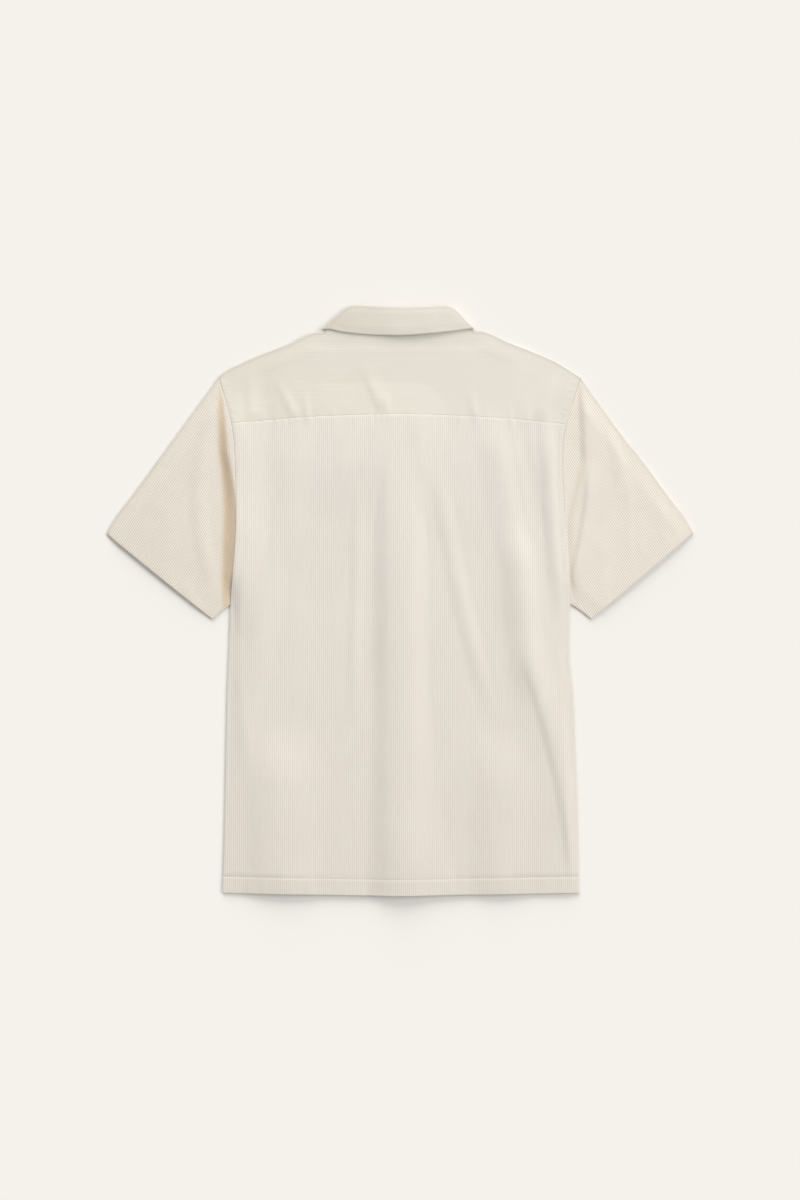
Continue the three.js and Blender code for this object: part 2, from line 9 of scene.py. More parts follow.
import logging
import math
from dataclasses import dataclass, field
from enum import Enum
from typing import Any, Sequence

import bpy
import numpy as np
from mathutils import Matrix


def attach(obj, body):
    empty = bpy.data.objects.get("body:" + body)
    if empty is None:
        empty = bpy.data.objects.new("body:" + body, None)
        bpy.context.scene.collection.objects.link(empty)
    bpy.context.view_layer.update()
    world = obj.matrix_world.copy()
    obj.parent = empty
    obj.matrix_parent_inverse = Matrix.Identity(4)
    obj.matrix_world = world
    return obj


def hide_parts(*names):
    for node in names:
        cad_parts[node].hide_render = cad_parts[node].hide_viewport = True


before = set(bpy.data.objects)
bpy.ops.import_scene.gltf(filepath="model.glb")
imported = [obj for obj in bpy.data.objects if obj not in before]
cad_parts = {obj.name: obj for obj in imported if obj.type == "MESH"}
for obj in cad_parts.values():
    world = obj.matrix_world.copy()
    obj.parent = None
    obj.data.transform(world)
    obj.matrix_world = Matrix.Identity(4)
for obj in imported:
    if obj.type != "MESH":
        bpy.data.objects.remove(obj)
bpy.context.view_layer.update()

LOG = logging.getLogger("shirt")
Array = np.ndarray
MM = 0.001
BODY = "root"
BOTH_FRONTS = ("front_left_panel", "front_right_panel")

# Cloth
WALL = 1.1
SEAM_GAP = 0.3
ARMHOLE_GAP = 0.03
YOKE_GAP = 0.03
RIB_PITCH = 2.62
RIB_HEIGHT = 0.3
HEM_DEPTH = 20.7
WELT_WIDTH = 5.3
WELT_HEIGHT = 0.5
WELT_STITCH_INSET = 0.8

# Placket and buttons
PLACKET_HALF = 13.0
PLACKET_FOOT = 30.0
BUTTON_THICKNESS = 2.4
BUTTON_DIAMETER = 11.0
BUTTON_COUNT = 6
BUTTON_TOP_Y = 188.0
BUTTON_SPACING = 92.0
PLACKET_LIFT = BUTTON_THICKNESS + SEAM_GAP + 0.1
OVERLAP_STEP = WALL + SEAM_GAP

# Corners of the armholes, the yoke and the collar's fall
SHOULDER_TIP_Y = 285.6
UNDERARM_Y = -6.0
YOKE_ENDS = (-215.4, 212.6)
FALL_ENDS = (-99.0, 94.6)

# Collar
COLLAR_WALL = 1.6
STAND_UNDERSIDE = 3.6
FALL_UNDERSIDE = 5.6
NECK_SEAM_Y = 349.0
LEAF_LIFT = COLLAR_WALL + SEAM_GAP
V_FOOT_Y = 196.0
V_TOP = (60.0, 347.0)

# Painted shade on a folded edge, as a share like that of the hollows but with the other sign: it darkens
# rounded folds that would catch the light
FOLD_PAINTED_SHADE = -0.9

# How far the layer on top stands off the fronts
LOFT = 2.0
CROWN = 0.9
FRONT_INSET = 0.4


class Side(Enum):
    """Side of the wearer, with the direction in which it lies along X."""

    LEFT = -1
    RIGHT = 1


def ease(value: Array, zero_at: Array | float, one_at: Array | float) -> Array:
    """Smooth step.

    Args:
        value: Where to read the step.
        zero_at: Value at which the step is 0.
        one_at: Value at which the step is 1.

    Returns:
        The step's height, from 0 to 1.
    """
    share = np.clip((value - zero_at) / (one_at - zero_at), 0.0, 1.0)
    return share * share * (3.0 - 2.0 * share)


def mix(low: Array | float, high: Array | float, share: Array | float) -> Array:
    """Straight mix of two values by a share from 0 to 1."""
    return low + (high - low) * share


def round_off(distance: Array, width: float, depth: float) -> Array:
    """Depth by which a wall's edge is rounded away.

    Args:
        distance: Distance in from the edge.
        width: Width of the rounded strip.
        depth: Depth lost at the very edge.

    Returns:
        The depth lost at each distance.
    """
    near = 1.0 - np.clip(distance / width, 0.0, 1.0)
    return depth * (1.0 - np.sqrt(1.0 - near * near))


def bell(distance: Array, width: float) -> Array:
    """Share that is 1 at no distance and gone past a few widths, as in the dip of a row of stitches."""
    return np.exp(-((distance / width) ** 2))


def layered(*layers: Array) -> Array:
    """Grid of triples from three grids of single values."""
    return np.stack(layers, axis=2)


@dataclass(frozen=True)
class Curve:
    """Smooth line through a few points, read as one value over another."""

    points: tuple[tuple[float, float], ...]

    def __call__(self, at: Array | float) -> Array:
        """Reads the line.

        Args:
            at: Places along the first value of the points.

        Returns:
            The second value there, held level past both ends.
        """
        x, y = np.array(self.points, dtype=float).T
        slope = np.diff(y) / np.diff(x)
        before, after = slope[:-1], slope[1:]
        total = np.where(before * after > 0, before + after, 1.0)
        inner = np.where(before * after > 0, 2.0 * before * after / total, 0.0)
        tangent = np.concatenate([slope[:1], inner, slope[-1:]])
        at = np.asarray(at, dtype=float)
        row = np.clip(np.searchsorted(x, at) - 1, 0, len(x) - 2)
        width = x[row + 1] - x[row]
        t = np.clip((at - x[row]) / width, 0.0, 1.0)
        rise = y[row] * (1 + 2 * t) * (1 - t) ** 2 + y[row + 1] * t * t * (3 - 2 * t)
        return rise + width * t * (1 - t) * (tangent[row] * (1 - t) - tangent[row + 1] * t)


@dataclass(frozen=True)
class Crease:
    """Soft ridge along a bowed line, or a trough where its height is negative.

    A positive bow pushes its middle to +X on a line that runs down the shirt. A positive lean makes
    that side the steeper one. The start is the share of the length over which it comes up from the head.
    """

    head: tuple[float, float]
    foot: tuple[float, float]
    half: float
    height: float
    bow: float = 0.0
    lean: float = 0.0
    start: float = 0.22

    def relief(self, x: Array, y: Array) -> Array:
        """Height that the crease adds.

        Args:
            x: Places across the shirt.
            y: Places along the shirt.

        Returns:
            The height at each point.
        """
        run_x, run_y = self.foot[0] - self.head[0], self.foot[1] - self.head[1]
        length = math.hypot(run_x, run_y)
        from_x, from_y = x - self.head[0], y - self.head[1]
        along = (from_x * run_x + from_y * run_y) / length**2
        held = np.clip(along, 0.0, 1.0)
        offset = (from_y * run_x - from_x * run_y) / length - self.bow * 4.0 * held * (1.0 - held)
        half = self.half * np.where(offset > 0, 1.0 - self.lean, 1.0 + self.lean)
        across = 0.5 + 0.5 * np.cos(np.pi * np.minimum(np.abs(offset) / half, 1.0))
        return self.height * across * ease(along, -0.15, self.start) * ease(along, 1.15, 0.78)


def relief_of(creases: Sequence[Crease], x: Array, y: Array) -> Array:
    """Summed height of several creases at each point."""
    return sum((crease.relief(x, y) for crease in creases), np.zeros_like(x))


@dataclass(frozen=True)
class Unevenness:
    """Small waves that laid cloth always has, as a fixed sum of sines."""

    seed: int
    height: float
    shortest: float
    longest: float
    waves: int = 16
    stretch: float = 1.0

    def __call__(self, x: Array, y: Array) -> Array:
        """Height of the waves, drawn out along Y by the stretch.

        Args:
            x: Places across the shirt.
            y: Places along the shirt.

        Returns:
            The height at each point.
        """
        rng = np.random.default_rng(self.seed)
        total = np.zeros_like(x)
        for _ in range(self.waves):
            length = self.shortest * (self.longest / self.shortest) ** rng.random()
            turn, phase = rng.random(2) * 2.0 * np.pi
            way_x, way_y = math.cos(turn), math.sin(turn) / self.stretch
            total += np.sin(2.0 * np.pi * (x * way_x + y * way_y) / length + phase)
        return total * self.height / math.sqrt(self.waves / 2.0)


# Outline of the laid shirt
BODY_LEFT = Curve((
    (-378, -227.4), (-325, -225.6), (-281, -224.4), (-205, -222.9), (-128, -221.2), (-51, -218.4),
    (-6, -216.8),
    (60, -211.4), (100, -209.2), (128, -209.2), (166, -210), (196, -211.2), (226, -215.4), (285.6, -231.4),
))
BODY_RIGHT = Curve((
    (-378, 229.4), (-325, 228.5), (-281, 227.5), (-205, 225), (-128, 222.2), (-51, 216.6), (-6, 217.6),
    (60, 214), (100, 211.4), (128, 209.6), (166, 207.8), (196, 208.2), (226, 212.9), (285.6, 231.2),
))
HEM = Curve(((-228, -374.8), (-127, -376.5), (0, -378.2), (77, -377.1), (231, -374.8)))
YOKE_SEAM = Curve((
    (-215.4, 226), (-141, 232.4), (-106, 234.8), (-44, 237), (4, 237.8), (50, 236.8), (101, 234.4),
    (139, 232),
    (212.6, 225),
))
SHOULDER = Curve((
    (-231.4, 285.4), (-215.4, 296.6), (-200, 304), (-183, 311.6), (-141, 327.6), (-106, 342.4), (-99, 342.8),
    (-91, 348), (-80, NECK_SEAM_Y), (76, NECK_SEAM_Y), (87, 348), (94.6, 343.8), (101, 343.8), (139, 329.4),
    (176, 315), (200, 304.2), (212.6, 296.8), (231.2, 284.4),
))
FALL_EDGE = Curve((
    (-99, 345.4), (-95, 345.9), (-91, 346.2), (-80, 343.6), (-66, 341.4), (-32, 338.6), (0, 337.9),
    (36, 340.2), (66, 343.4), (88, 346.4), (94.4, 347.2),
))
COLLAR_FOLD = Curve((
    (-99, 346.8), (-95, 350.4), (-84, 360), (-70, 371.6), (-64, 375.8), (-58, 377.2), (-38, 376.4), (0, 375),
    (36, 376), (60, 376.8), (66, 375.6), (72, 371.4), (84, 358.6), (94.4, 348.4),
))
LEAF_EDGE = Curve(((12, 224), (36, 245), (60, 263), (92, 258), (124, 252)))

BODY_CREASES = (
    # Over the placket, thin upright one beside it, and the slanting one on its other side
    Crease((1, 150), (1, -420), 38, 4.0),
    Crease((-53, 124), (-59, -130), 12.8, 1.4),
    Crease((50, 154), (108, -114), 16, 1.6, bow=-5),
    # Long fold from the right of the yoke down to the side
    Crease((118, 228), (152, 40), 28, 2.2, lean=0.2),
    Crease((150, 84), (166, -110), 28, 3.6, lean=0.1),
    Crease((166, -84), (225, -352), 24, 2.6, bow=8, lean=-0.4),
    Crease((146, 62), (184, -176), 44, 2.4),
    Crease((122, -190), (122, -400), 48, 3.4, lean=-0.2),
    # Beside the armholes
    Crease((186, 228), (203, 0), 16, 2.7),
    Crease((152, 232), (180, 84), 15, -0.9),
    Crease((-206, 262), (-206, -20), 34, 6.2, bow=-2, lean=-0.3),
    # Left side
    Crease((-164, 96), (-218, -244), 34, 1.8, lean=0.1),
    Crease((-128, 120), (-136, -40), 20, 0.5),
    Crease((-152, -190), (-154, -400), 62, 5.4, lean=-0.1),
    Crease((-126, 194), (-190, -110), 26, 2.4),
    Crease((20, 236), (34, 150), 14, 0.5),
)
YOKE_CREASES = (
    Crease((-191, 292), (-190, 230), 16, 1.8, lean=-0.3, start=0.7),
    Crease((-160, 286), (-132, 232), 10, 1.1, start=0.8),
    Crease((-123, 274), (-118, 228), 8, 1.1, start=0.8),
    Crease((-46, 298), (-24, 244), 13, 1.2, lean=-0.3, start=0.6),
    Crease((-20, 280), (-15, 232), 8, 0.9, start=0.8),
    Crease((90, 274), (96, 232), 8, 0.8, start=0.8),
    Crease((200, 292), (178, 232), 15, 1.8, start=0.7),
    # Under the shoulders
    Crease((-92, 330), (-205, 288), 14, 0.5),
    Crease((92, 334), (150, 308), 14, 0.6),
)
HEM_PUCKERS = tuple(
    Crease((x, -350), (x + slant, -386), half, height)
    for x, slant, half, height in (
        (-196, 4, 12, 0.4), (-158, -5, 15, -0.4), (-118, 3, 10, 0.35), (-84, -4, 14, 0.3),
        (-44, 5, 11, -0.4),
        (62, 6, 12, 0.4), (92, -3, 9, -0.3), (134, 4, 14, 0.4), (172, -4, 11, -0.35), (206, 3, 9, 0.3),
    )
)
SEAM_PUCKERS = tuple(
    Crease((x, y_top + 6), (x + slant, 226), 3.4, 1.3 * height, start=0.8)
    for x, y_top, slant, height in (
        (-176, 246, 1, 0.4), (-160, 250, 2, 0.45), (-149, 247, 1, 0.4), (-139, 249, -1, 0.45),
        (-112, 245, 2, -0.35),
        (-86, 247, 1, 0.25), (-58, 246, -1, 0.3), (-31, 252, -3, -0.45), (-22, 248, 1, 0.4),
        (12, 247, 0, 0.25),
        (46, 248, 1, -0.3), (78, 246, -1, 0.3), (112, 247, 1, 0.3), (139, 249, 2, 0.45),
        (149, 248, -1, -0.4),
        (163, 246, 1, 0.45), (188, 243, 0, 0.35),
    )
)
SLEEVE_CREASES = {
    Side.LEFT: (
        # Long bowed one from the shoulder tip towards the underarm, and what lies nearer to the cuff
        Crease((-229, 276), (-240, 20), 16, 1.3, bow=-23),
        Crease((-232, 278), (-243, 225), 8, 0.7),
        Crease((-300, 150), (-304, 40), 26, 0.5, bow=-4),
        Crease((-276, 20), (-258, -12), 10, 0.4),
    ),
    Side.RIGHT: (
        # Second rise beside the seam, the bowed one along the upper fold and short upright ones
        Crease((243, 164), (218, 16), 12, 3.4, bow=4, lean=-0.45),
        Crease((250, 264), (284, 138), 14, 1.4, bow=8),
        Crease((293, 152), (295, 48), 8, 0.7),
        Crease((338, 124), (336, 74), 12, 0.5),
        Crease((309, 104), (308, 58), 10, 0.45),
        Crease((262, 70), (258, -2), 14, 0.5),
    ),
}


@dataclass(frozen=True)
class SeamFall:
    """How a sleeve falls away from the body past its armhole seam, by the distance from the seam."""

    start: Curve
    end: Curve
    ridge: Curve
    crest: Curve
    trough: float
    rest: float
    # Strength of the warm painted shade in the dip past the seam
    hollow_shade: float
    spread: float = 46.0


SEAM_FALL = {
    Side.LEFT: SeamFall(
        start=Curve((
            (60, -5), (100, -4), (123, -2), (144, 1), (164, 4), (195, 8.3), (226, 7), (257, 3.3), (276, 1),
        )),
        end=Curve((
            (-6, 8), (20, 11.5), (51, 14), (82, 15.6), (123, 16), (144, 16.4), (164, 17), (195, 19.5),
            (226, 16.5),
            (257, 8), (276, 3),
        )),
        ridge=Curve(((-6, 36), (90, 46), (218, 38), (276, 20))),
        crest=Curve(((0, 1.1), (200, 1.1))),
        trough=0.2,
        rest=2.0,
        hollow_shade=1.0,
    ),
    Side.RIGHT: SeamFall(
        start=Curve(((0, 0), (280, 0.1))),
        end=Curve((
            (60, 0.4), (82, 1), (102, 2.6), (123, 7.6), (143, 14), (160, 19), (179, 22.6), (206, 21),
            (237, 13.6),
            (267, 3.6), (280, 1),
        )),
        ridge=Curve((
            (0, 9), (60, 9), (102, 9.4), (123, 14), (143, 20.6), (160, 26.4), (179, 30.4), (206, 27.6),
            (237, 20),
            (267, 9), (280, 5),
        )),
        crest=Curve(((100, 1.5), (170, 3.6))),
        trough=0.2,
        rest=1.8,
        hollow_shade=0.2,
    ),
}
PLACKET_FALL = {
    Side.LEFT: Curve(((-378, 46), (-200, 43), (0, 39), (150, 42), (290, 110))),
    Side.RIGHT: Curve((
        (-378, 80), (-340, 70), (-260, 55), (-180, 46), (-100, 40), (100, 39), (140, 60), (180, 88),
        (290, 120),
    )),
}
UPPER_FOLD = {
    Side.LEFT: Curve((
        (0, 0), (0.1, 0), (0.2, 0.5), (0.3, 0.9), (0.5, 1.3), (0.6, 2), (0.7, 2.6), (0.8, 3.3), (0.89, 4),
        (0.95, 3.6), (1, 1.6),
    )),
    Side.RIGHT: Curve((
        (0, 0), (0.1, -0.9), (0.2, -0.9), (0.3, -0.5), (0.4, 0.5), (0.5, 1.7), (0.6, 2.3), (0.7, 2.6),
        (0.8, 3.3),
        (0.9, 3.9), (0.95, 3.5), (1, 1),
    )),
}


@dataclass(frozen=True)
class LaidShape:
    """Heights of the shirt's layers above the surface."""

    uneven: Unevenness = Unevenness(seed=3, height=0.12, shortest=30, longest=120, stretch=2.6)
    fine: Unevenness = Unevenness(seed=8, height=0.02, shortest=8, longest=24, stretch=2.4)

    def edge(self, y: Array, side: Side) -> Array:
        """X of the body's side or armhole."""
        return BODY_LEFT(y) if side is Side.LEFT else BODY_RIGHT(y)

    def inside(self, x: Array, y: Array) -> Array:
        """Distance in from the nearer side of the body."""
        return np.minimum(x - BODY_LEFT(y), BODY_RIGHT(y) - x)

    def placket_lift(self, y: Array) -> Array:
        """Lift of the placket over its buttons, lower at the hem and gone at the foot of the V."""
        return mix(1.0, PLACKET_LIFT, ease(y, -370, -300)) * ease(y, 224, 206)

    def front_underside(self, x: Array, y: Array, is_upper: bool) -> Array:
        """Underside of a front.

        Args:
            x: Places across the shirt.
            y: Places along the shirt.
            is_upper: Whether this front lies on the other one at the overlap.

        Returns:
            The heights of its lower face.
        """
        leaf = LEAF_LIFT * ease(np.abs(x), 156, 134) * ease(y, 196, 216)
        placket = self.placket_lift(y) * ease(np.abs(x), PLACKET_FOOT, PLACKET_HALF)
        overlap = ease(np.abs(x), PLACKET_FOOT, PLACKET_HALF) * ease(y, 240, 226)
        return np.maximum(leaf, placket) + (OVERLAP_STEP * overlap if is_upper else 0.0)

    def fronts_top(self, x: Array, y: Array) -> Array:
        """Highest level of the fronts, widened so that the layer above clears them.

        Args:
            x: Places across the shirt.
            y: Places along the shirt.

        Returns:
            The height at each point.
        """
        collar_zone = LEAF_LIFT * ease(np.abs(x), 190, 140) * ease(y, 30, 198)
        foot = np.where(x < 0, PLACKET_FALL[Side.LEFT](y), PLACKET_FALL[Side.RIGHT](y))
        lift = mix(2.2, PLACKET_LIFT, ease(y, -378, -330)) + OVERLAP_STEP
        shelf = np.where(x < 0, ease(y, 70, 190) * ease(x, -185, -90), 0.0)
        crest = lift * np.maximum(ease(np.abs(x), foot, PLACKET_HALF + 0.5), shelf) * ease(y, 335, 215)
        return WALL + np.maximum(collar_zone, crest)

    def back_underside(self, x: Array, y: Array) -> Array:
        """Underside of the back and the yoke: on the fronts, with loft and creases that end at the edges.

        Args:
            x: Places across the shirt.
            y: Places along the shirt.

        Returns:
            The height at each point.
        """
        inside = self.inside(x, y)
        roll = mix(16.0, 52.0, ease(y, -60, -340) * ease(x, 0, -120))
        at_side = ease(inside, -0.5, roll)
        at_armhole = np.where(x < 0, 1.0, mix(0.6, 1.0, ease(inside, -1, 15)))
        side_share = mix(at_side, at_armhole, ease(y, -20, 34))
        shoulder_share = ease(SHOULDER(x) - y, -4, 34)
        crown = CROWN * ease(np.abs(x), 230, 40) * ease(y, 240, 60)
        creases = relief_of(BODY_CREASES, x, y) * ease(y, 282, 222)
        creases = creases + relief_of(YOKE_CREASES + SEAM_PUCKERS + HEM_PUCKERS, x, y)
        loft = LOFT * mix(1.0, 0.35, ease(y, 170, 300)) * mix(0.75, 1.0, ease(y, -378, -340))
        free = loft + crown + creases + self.uneven(x, y)
        free = np.maximum(free, 0.0) * side_share * shoulder_share
        at_neck = 1.0 - ease(np.abs(x), 118, 96) * ease(y, 318, 334)
        rest = self.fronts_top(x, y) + SEAM_GAP + free * at_neck + self.fine(x, y) * at_neck * shoulder_share
        return mix(STAND_UNDERSIDE, rest, at_neck)

    def welt(self, x: Array, y: Array) -> Array:
        """Raised strip of doubled, topstitched cloth along the armholes, with the dip of its stitches.

        Args:
            x: Places across the shirt.
            y: Places along the shirt.

        Returns:
            The height that the strip adds at each point.
        """
        inside = self.inside(x, y)
        strip = WELT_HEIGHT * ease(inside, WELT_WIDTH + 1.4, WELT_WIDTH + 0.2)
        dip = 0.3 * bell(inside - WELT_WIDTH + WELT_STITCH_INSET, 0.55)
        return (strip - dip) * ease(y, -6, 20)

    def hem_relief(self, above_hem: Array) -> Array:
        """Doubled cloth of the hem, with the dip of its stitches."""
        doubled = 0.3 * ease(above_hem, HEM_DEPTH + 2.4, HEM_DEPTH + 0.4)
        return doubled - 0.34 * bell(above_hem - HEM_DEPTH, 0.6)


@dataclass(frozen=True)
class Ribs:
    """Ribs of the jersey, with rounded crests and narrow grooves."""

    pitch: float = RIB_PITCH
    height: float = RIB_HEIGHT
    profile: tuple[tuple[float, float], ...] = ((-0.5, 0.0), (-0.36, 0.72), (0.0, 1.0), (0.36, 0.72))

    def columns(self, low: float, high: float) -> tuple[Array, Array]:
        """Places of the ribs' points and their heights.

        Args:
            low: Lowest place that has to be covered.
            high: Highest place that has to be covered.

        Returns:
            The places, in rising order, and the rise of the cloth at each.
        """
        crests = np.arange(math.floor(low / self.pitch), math.ceil(high / self.pitch) + 1)
        phase, rise = np.array(self.profile).T
        places = ((crests[:, None] + phase[None, :]) * self.pitch).ravel()
        return places, np.tile(rise * self.height, len(crests))


@dataclass
class ClothShell:
    """Closed wall of cloth between an outer and an inner grid of points, in millimetres.

    The weave grid holds, for each outer point, how far it lies across the ribs and along them, and its
    share of painted shade: above zero in the dip beside the body, below zero on a folded edge.
    """

    name: str
    outer: Array
    inner: Array
    weave: Array
    is_tube: bool = False
    row_stride: int = 2
    column_stride: int = 8

    @staticmethod
    def _chosen(count: int, stride: int) -> list[int]:
        """Indices of the coarser inner grid, both ends included."""
        return sorted({*range(0, count, stride), count - 1})

    @staticmethod
    def _quads(ids: Array) -> list[list[int]]:
        """Faces between the neighbouring points of a grid of indices."""
        return layered(ids[:-1, :-1], ids[:-1, 1:], ids[1:, 1:], ids[1:, :-1]).reshape(-1, 4).tolist()

    def _faces(self) -> tuple[list[list[int]], int, list[int], list[int]]:
        """Faces of the wall: its outer side, its inner side, then its rims.

        Returns:
            The faces, how many come before the rims, and the rows and columns that the inner side keeps.
        """
        rows, columns, _ = self.outer.shape
        kept_rows = self._chosen(rows, self.row_stride)
        kept_columns = self._chosen(columns, self.column_stride)
        out = np.arange(rows * columns).reshape(rows, columns)
        inn = out.size + np.arange(len(kept_rows) * len(kept_columns)).reshape(len(kept_rows), -1)
        faces = self._quads(out) + [face[::-1] for face in self._quads(inn)]
        skin = len(faces)
        for n, (low, high) in enumerate(zip(kept_columns, kept_columns[1:])):
            run, pair = slice(low, high + 1), slice(n, n + 2)
            faces.append([*out[0, run][::-1].tolist(), *inn[0, pair].tolist()])
            faces.append([*out[-1, run].tolist(), *inn[-1, pair][::-1].tolist()])
        if not self.is_tube:
            for n, (low, high) in enumerate(zip(kept_rows, kept_rows[1:])):
                run, pair = slice(low, high + 1), slice(n, n + 2)
                faces.append([*out[run, 0].tolist(), *inn[pair, 0][::-1].tolist()])
                faces.append([*out[run, -1][::-1].tolist(), *inn[pair, -1].tolist()])
        return faces, skin, kept_rows, kept_columns

    def build(self) -> bpy.types.Object:
        """Makes the mesh object, its equal points welded, its faces turned outwards and its rims crisp.

        Returns:
            The object.
        """
        faces, skin, kept_rows, kept_columns = self._faces()
        pick = np.ix_(kept_rows, kept_columns)
        points = np.concatenate([self.outer.reshape(-1, 3), self.inner[pick].reshape(-1, 3)]) * MM
        weave = np.concatenate([self.weave.reshape(-1, 3), self.weave[pick].reshape(-1, 3)])
        _, first, inverse = np.unique(np.round(points, 8), axis=0, return_index=True, return_inverse=True)
        inverse = inverse.reshape(-1).tolist()
        clean, is_smooth = [], []
        for number, face in enumerate(faces):
            ids = [inverse[n] for n in face]
            ids = [n for k, n in enumerate(ids) if n != ids[k - 1]]
            if len(ids) > 2 and len(set(ids)) == len(ids):
                clean.append(ids)
                is_smooth.append(number < skin)
        points, weave = points[first], weave[first]
        if signed_volume(points, clean) < 0:
            clean = [face[::-1] for face in clean]
        piece = make_object(self.name, points, clean, weave)
        piece.data.polygons.foreach_set("use_smooth", is_smooth)
        return piece


def signed_volume(points: Array, faces: Sequence[Sequence[int]]) -> float:
    """Volume inside the faces, negative where they point inwards.

    Args:
        points: Points of the mesh.
        faces: Indices of the points of each face.

    Returns:
        The volume.
    """
    fans = [(face[0], face[n], face[n + 1]) for face in faces for n in range(1, len(face) - 1)]
    a, b, c = (points[list(ids)] for ids in zip(*fans))
    return float(np.einsum("ij,ij->i", a, np.cross(b, c)).sum() / 6.0)


def make_object(
    name: str, points: Array, faces: Sequence[Sequence[int]], weave: Array | None = None
) -> bpy.types.Object:
    """Makes a smooth-shaded mesh object and links it to the scene.

    Args:
        name: Name of the object.
        points: Points in metres.
        faces: Indices of the points of each face.
        weave: For each point, how far it lies across and along the ribs, in millimetres, and its share of
        painted shade, above zero in the dip beside the body and below zero on a folded edge.

    Returns:
        The object.
    """
    mesh = bpy.data.meshes.new(name)
    mesh.from_pydata(points.tolist(), [], faces)
    if weave is not None:
        layer = mesh.attributes.new("weave", "FLOAT_VECTOR", "POINT")
        layer.data.foreach_set("vector", weave.ravel())
    mesh.polygons.foreach_set("use_smooth", [True] * len(faces))
    mesh.update()
    piece = bpy.data.objects.new(name, mesh)
    bpy.context.scene.collection.objects.link(piece)
    return piece


class Signal:
    """Value in a material's node tree, on which Python's operators add Math nodes."""

    def __init__(self, graph: "Graph", socket: bpy.types.NodeSocket) -> None:
        """Wraps one output socket of a graph."""
        self.graph = graph
        self.socket = socket

    def _math(self, operation: str, first: "Signal | float", second: "Signal | float" = 0.0) -> "Signal":
        """Adds one Math node on two values."""
        return self.graph.value("ShaderNodeMath", {"operation": operation}, {0: first, 1: second})

    def __add__(self, other: "Signal | float") -> "Signal":
        """Sum."""
        return self._math("ADD", self, other)

    def __radd__(self, other: float) -> "Signal":
        """Sum, reflected."""
        return self._math("ADD", other, self)

    def __sub__(self, other: "Signal | float") -> "Signal":
        """Difference."""
        return self._math("SUBTRACT", self, other)

    def __rsub__(self, other: float) -> "Signal":
        """Difference, reflected."""
        return self._math("SUBTRACT", other, self)

    def __mul__(self, other: "Signal | float") -> "Signal":
        """Product."""
        return self._math("MULTIPLY", self, other)

    def __rmul__(self, other: float) -> "Signal":
        """Product, reflected."""
        return self._math("MULTIPLY", other, self)

    def __truediv__(self, other: "Signal | float") -> "Signal":
        """Quotient."""
        return self._math("DIVIDE", self, other)

    def __pow__(self, other: float) -> "Signal":
        """Power."""
        return self._math("POWER", self, other)

    def __neg__(self) -> "Signal":
        """Value with the other sign."""
        return self._math("MULTIPLY", self, -1.0)

    def __abs__(self) -> "Signal":
        """Size without its sign."""
        return self._math("ABSOLUTE", self)

    def wave(self) -> "Signal":
        """Sine of the value times a full turn, moved to run from 0 to 1."""
        return self._math("SINE", self * (2.0 * math.pi)) * 0.5 + 0.5


class Graph:
    """Node tree of one material, with a Principled shader at its end."""

    def __init__(self, name: str) -> None:
        """Starts a material with an empty tree.

        Args:
            name: Name of the material.
        """
        self.material = bpy.data.materials.new(name)
        self.material.use_nodes = True
        self.tree = self.material.node_tree
        self.tree.nodes.clear()

    def add(self, kind: str, settings: dict[str, Any], sockets: dict[Any, Any]) -> bpy.types.Node:
        """Adds one node.

        Args:
            kind: Blender's name of the node's type.
            settings: Properties of the node, set first.
            sockets: Value or link of each input, by its name or number.

        Returns:
            The node.
        """
        node = self.tree.nodes.new(kind)
        for key, value in settings.items():
            setattr(node, key, value)
        for key, value in sockets.items():
            if isinstance(value, Signal):
                self.tree.links.new(value.socket, node.inputs[key])
            else:
                node.inputs[key].default_value = value
        return node

    def parts(self, vector: Signal) -> tuple[Signal, ...]:
        """The three parts of a vector."""
        node = self.add("ShaderNodeSeparateXYZ", {}, {"Vector": vector})
        return tuple(Signal(self, node.outputs[axis]) for axis in "XYZ")

    def place(self) -> Signal:
        """Place on the object, in metres."""
        return self.value("ShaderNodeTexCoord", {}, {}, "Object")

    def noise(self, place: Signal, scale: float, detail: float, distortion: float = 0.0) -> Signal:
        """Noise from 0 to 1 over a place."""
        sockets = {"Vector": place, "Scale": scale, "Detail": detail, "Distortion": distortion}
        return self.value("ShaderNodeTexNoise", {}, sockets)

    def noise_over(self, x: Signal, y: Signal, detail: float) -> Signal:
        """Noise from 0 to 1 over two values."""
        return self.noise(self.value("ShaderNodeCombineXYZ", {}, {"X": x, "Y": y}), 1.0, detail)

    def bump(self, height: Signal, strength: float, depth: float) -> Signal:
        """Normal tilted by a relief whose depth is in millimetres."""
        sockets = {"Height": height, "Strength": strength, "Distance": depth * MM}
        return self.value("ShaderNodeBump", {}, sockets, "Normal")

    def value(self, kind: str, settings: dict[str, Any], sockets: dict[Any, Any], output: Any = 0) -> Signal:
        """Adds one node and gives one of its outputs."""
        return Signal(self, self.add(kind, settings, sockets).outputs[output])

    def tint(self, share: Signal, low: Sequence[float], high: Sequence[float]) -> Signal:
        """Colour mixed from two by a share."""
        settings = {"data_type": "RGBA", "clamp_factor": True}
        return self.value("ShaderNodeMix", settings, {0: share, 6: (*low, 1.0), 7: (*high, 1.0)}, 2)

    def with_painted_shade(self, colour: Signal, share: Signal, painted_shade_tint: Sequence[float]) -> Signal:
        """Colour multiplied by a tint of painted shade, as far as a share says."""
        settings = {"data_type": "RGBA", "blend_type": "MULTIPLY", "clamp_factor": True}
        return self.value("ShaderNodeMix", settings, {0: share, 6: colour, 7: (*painted_shade_tint, 1.0)}, 2)

    def surface(self, sockets: dict[str, Any]) -> bpy.types.Material:
        """Ends the tree in a Principled shader.

        Args:
            sockets: Value or link of each of the shader's inputs.

        Returns:
            The material.
        """
        shader = self.add("ShaderNodeBsdfPrincipled", {}, sockets)
        output = self.add("ShaderNodeOutputMaterial", {}, {})
        self.tree.links.new(shader.outputs[0], output.inputs["Surface"])
        return self.material


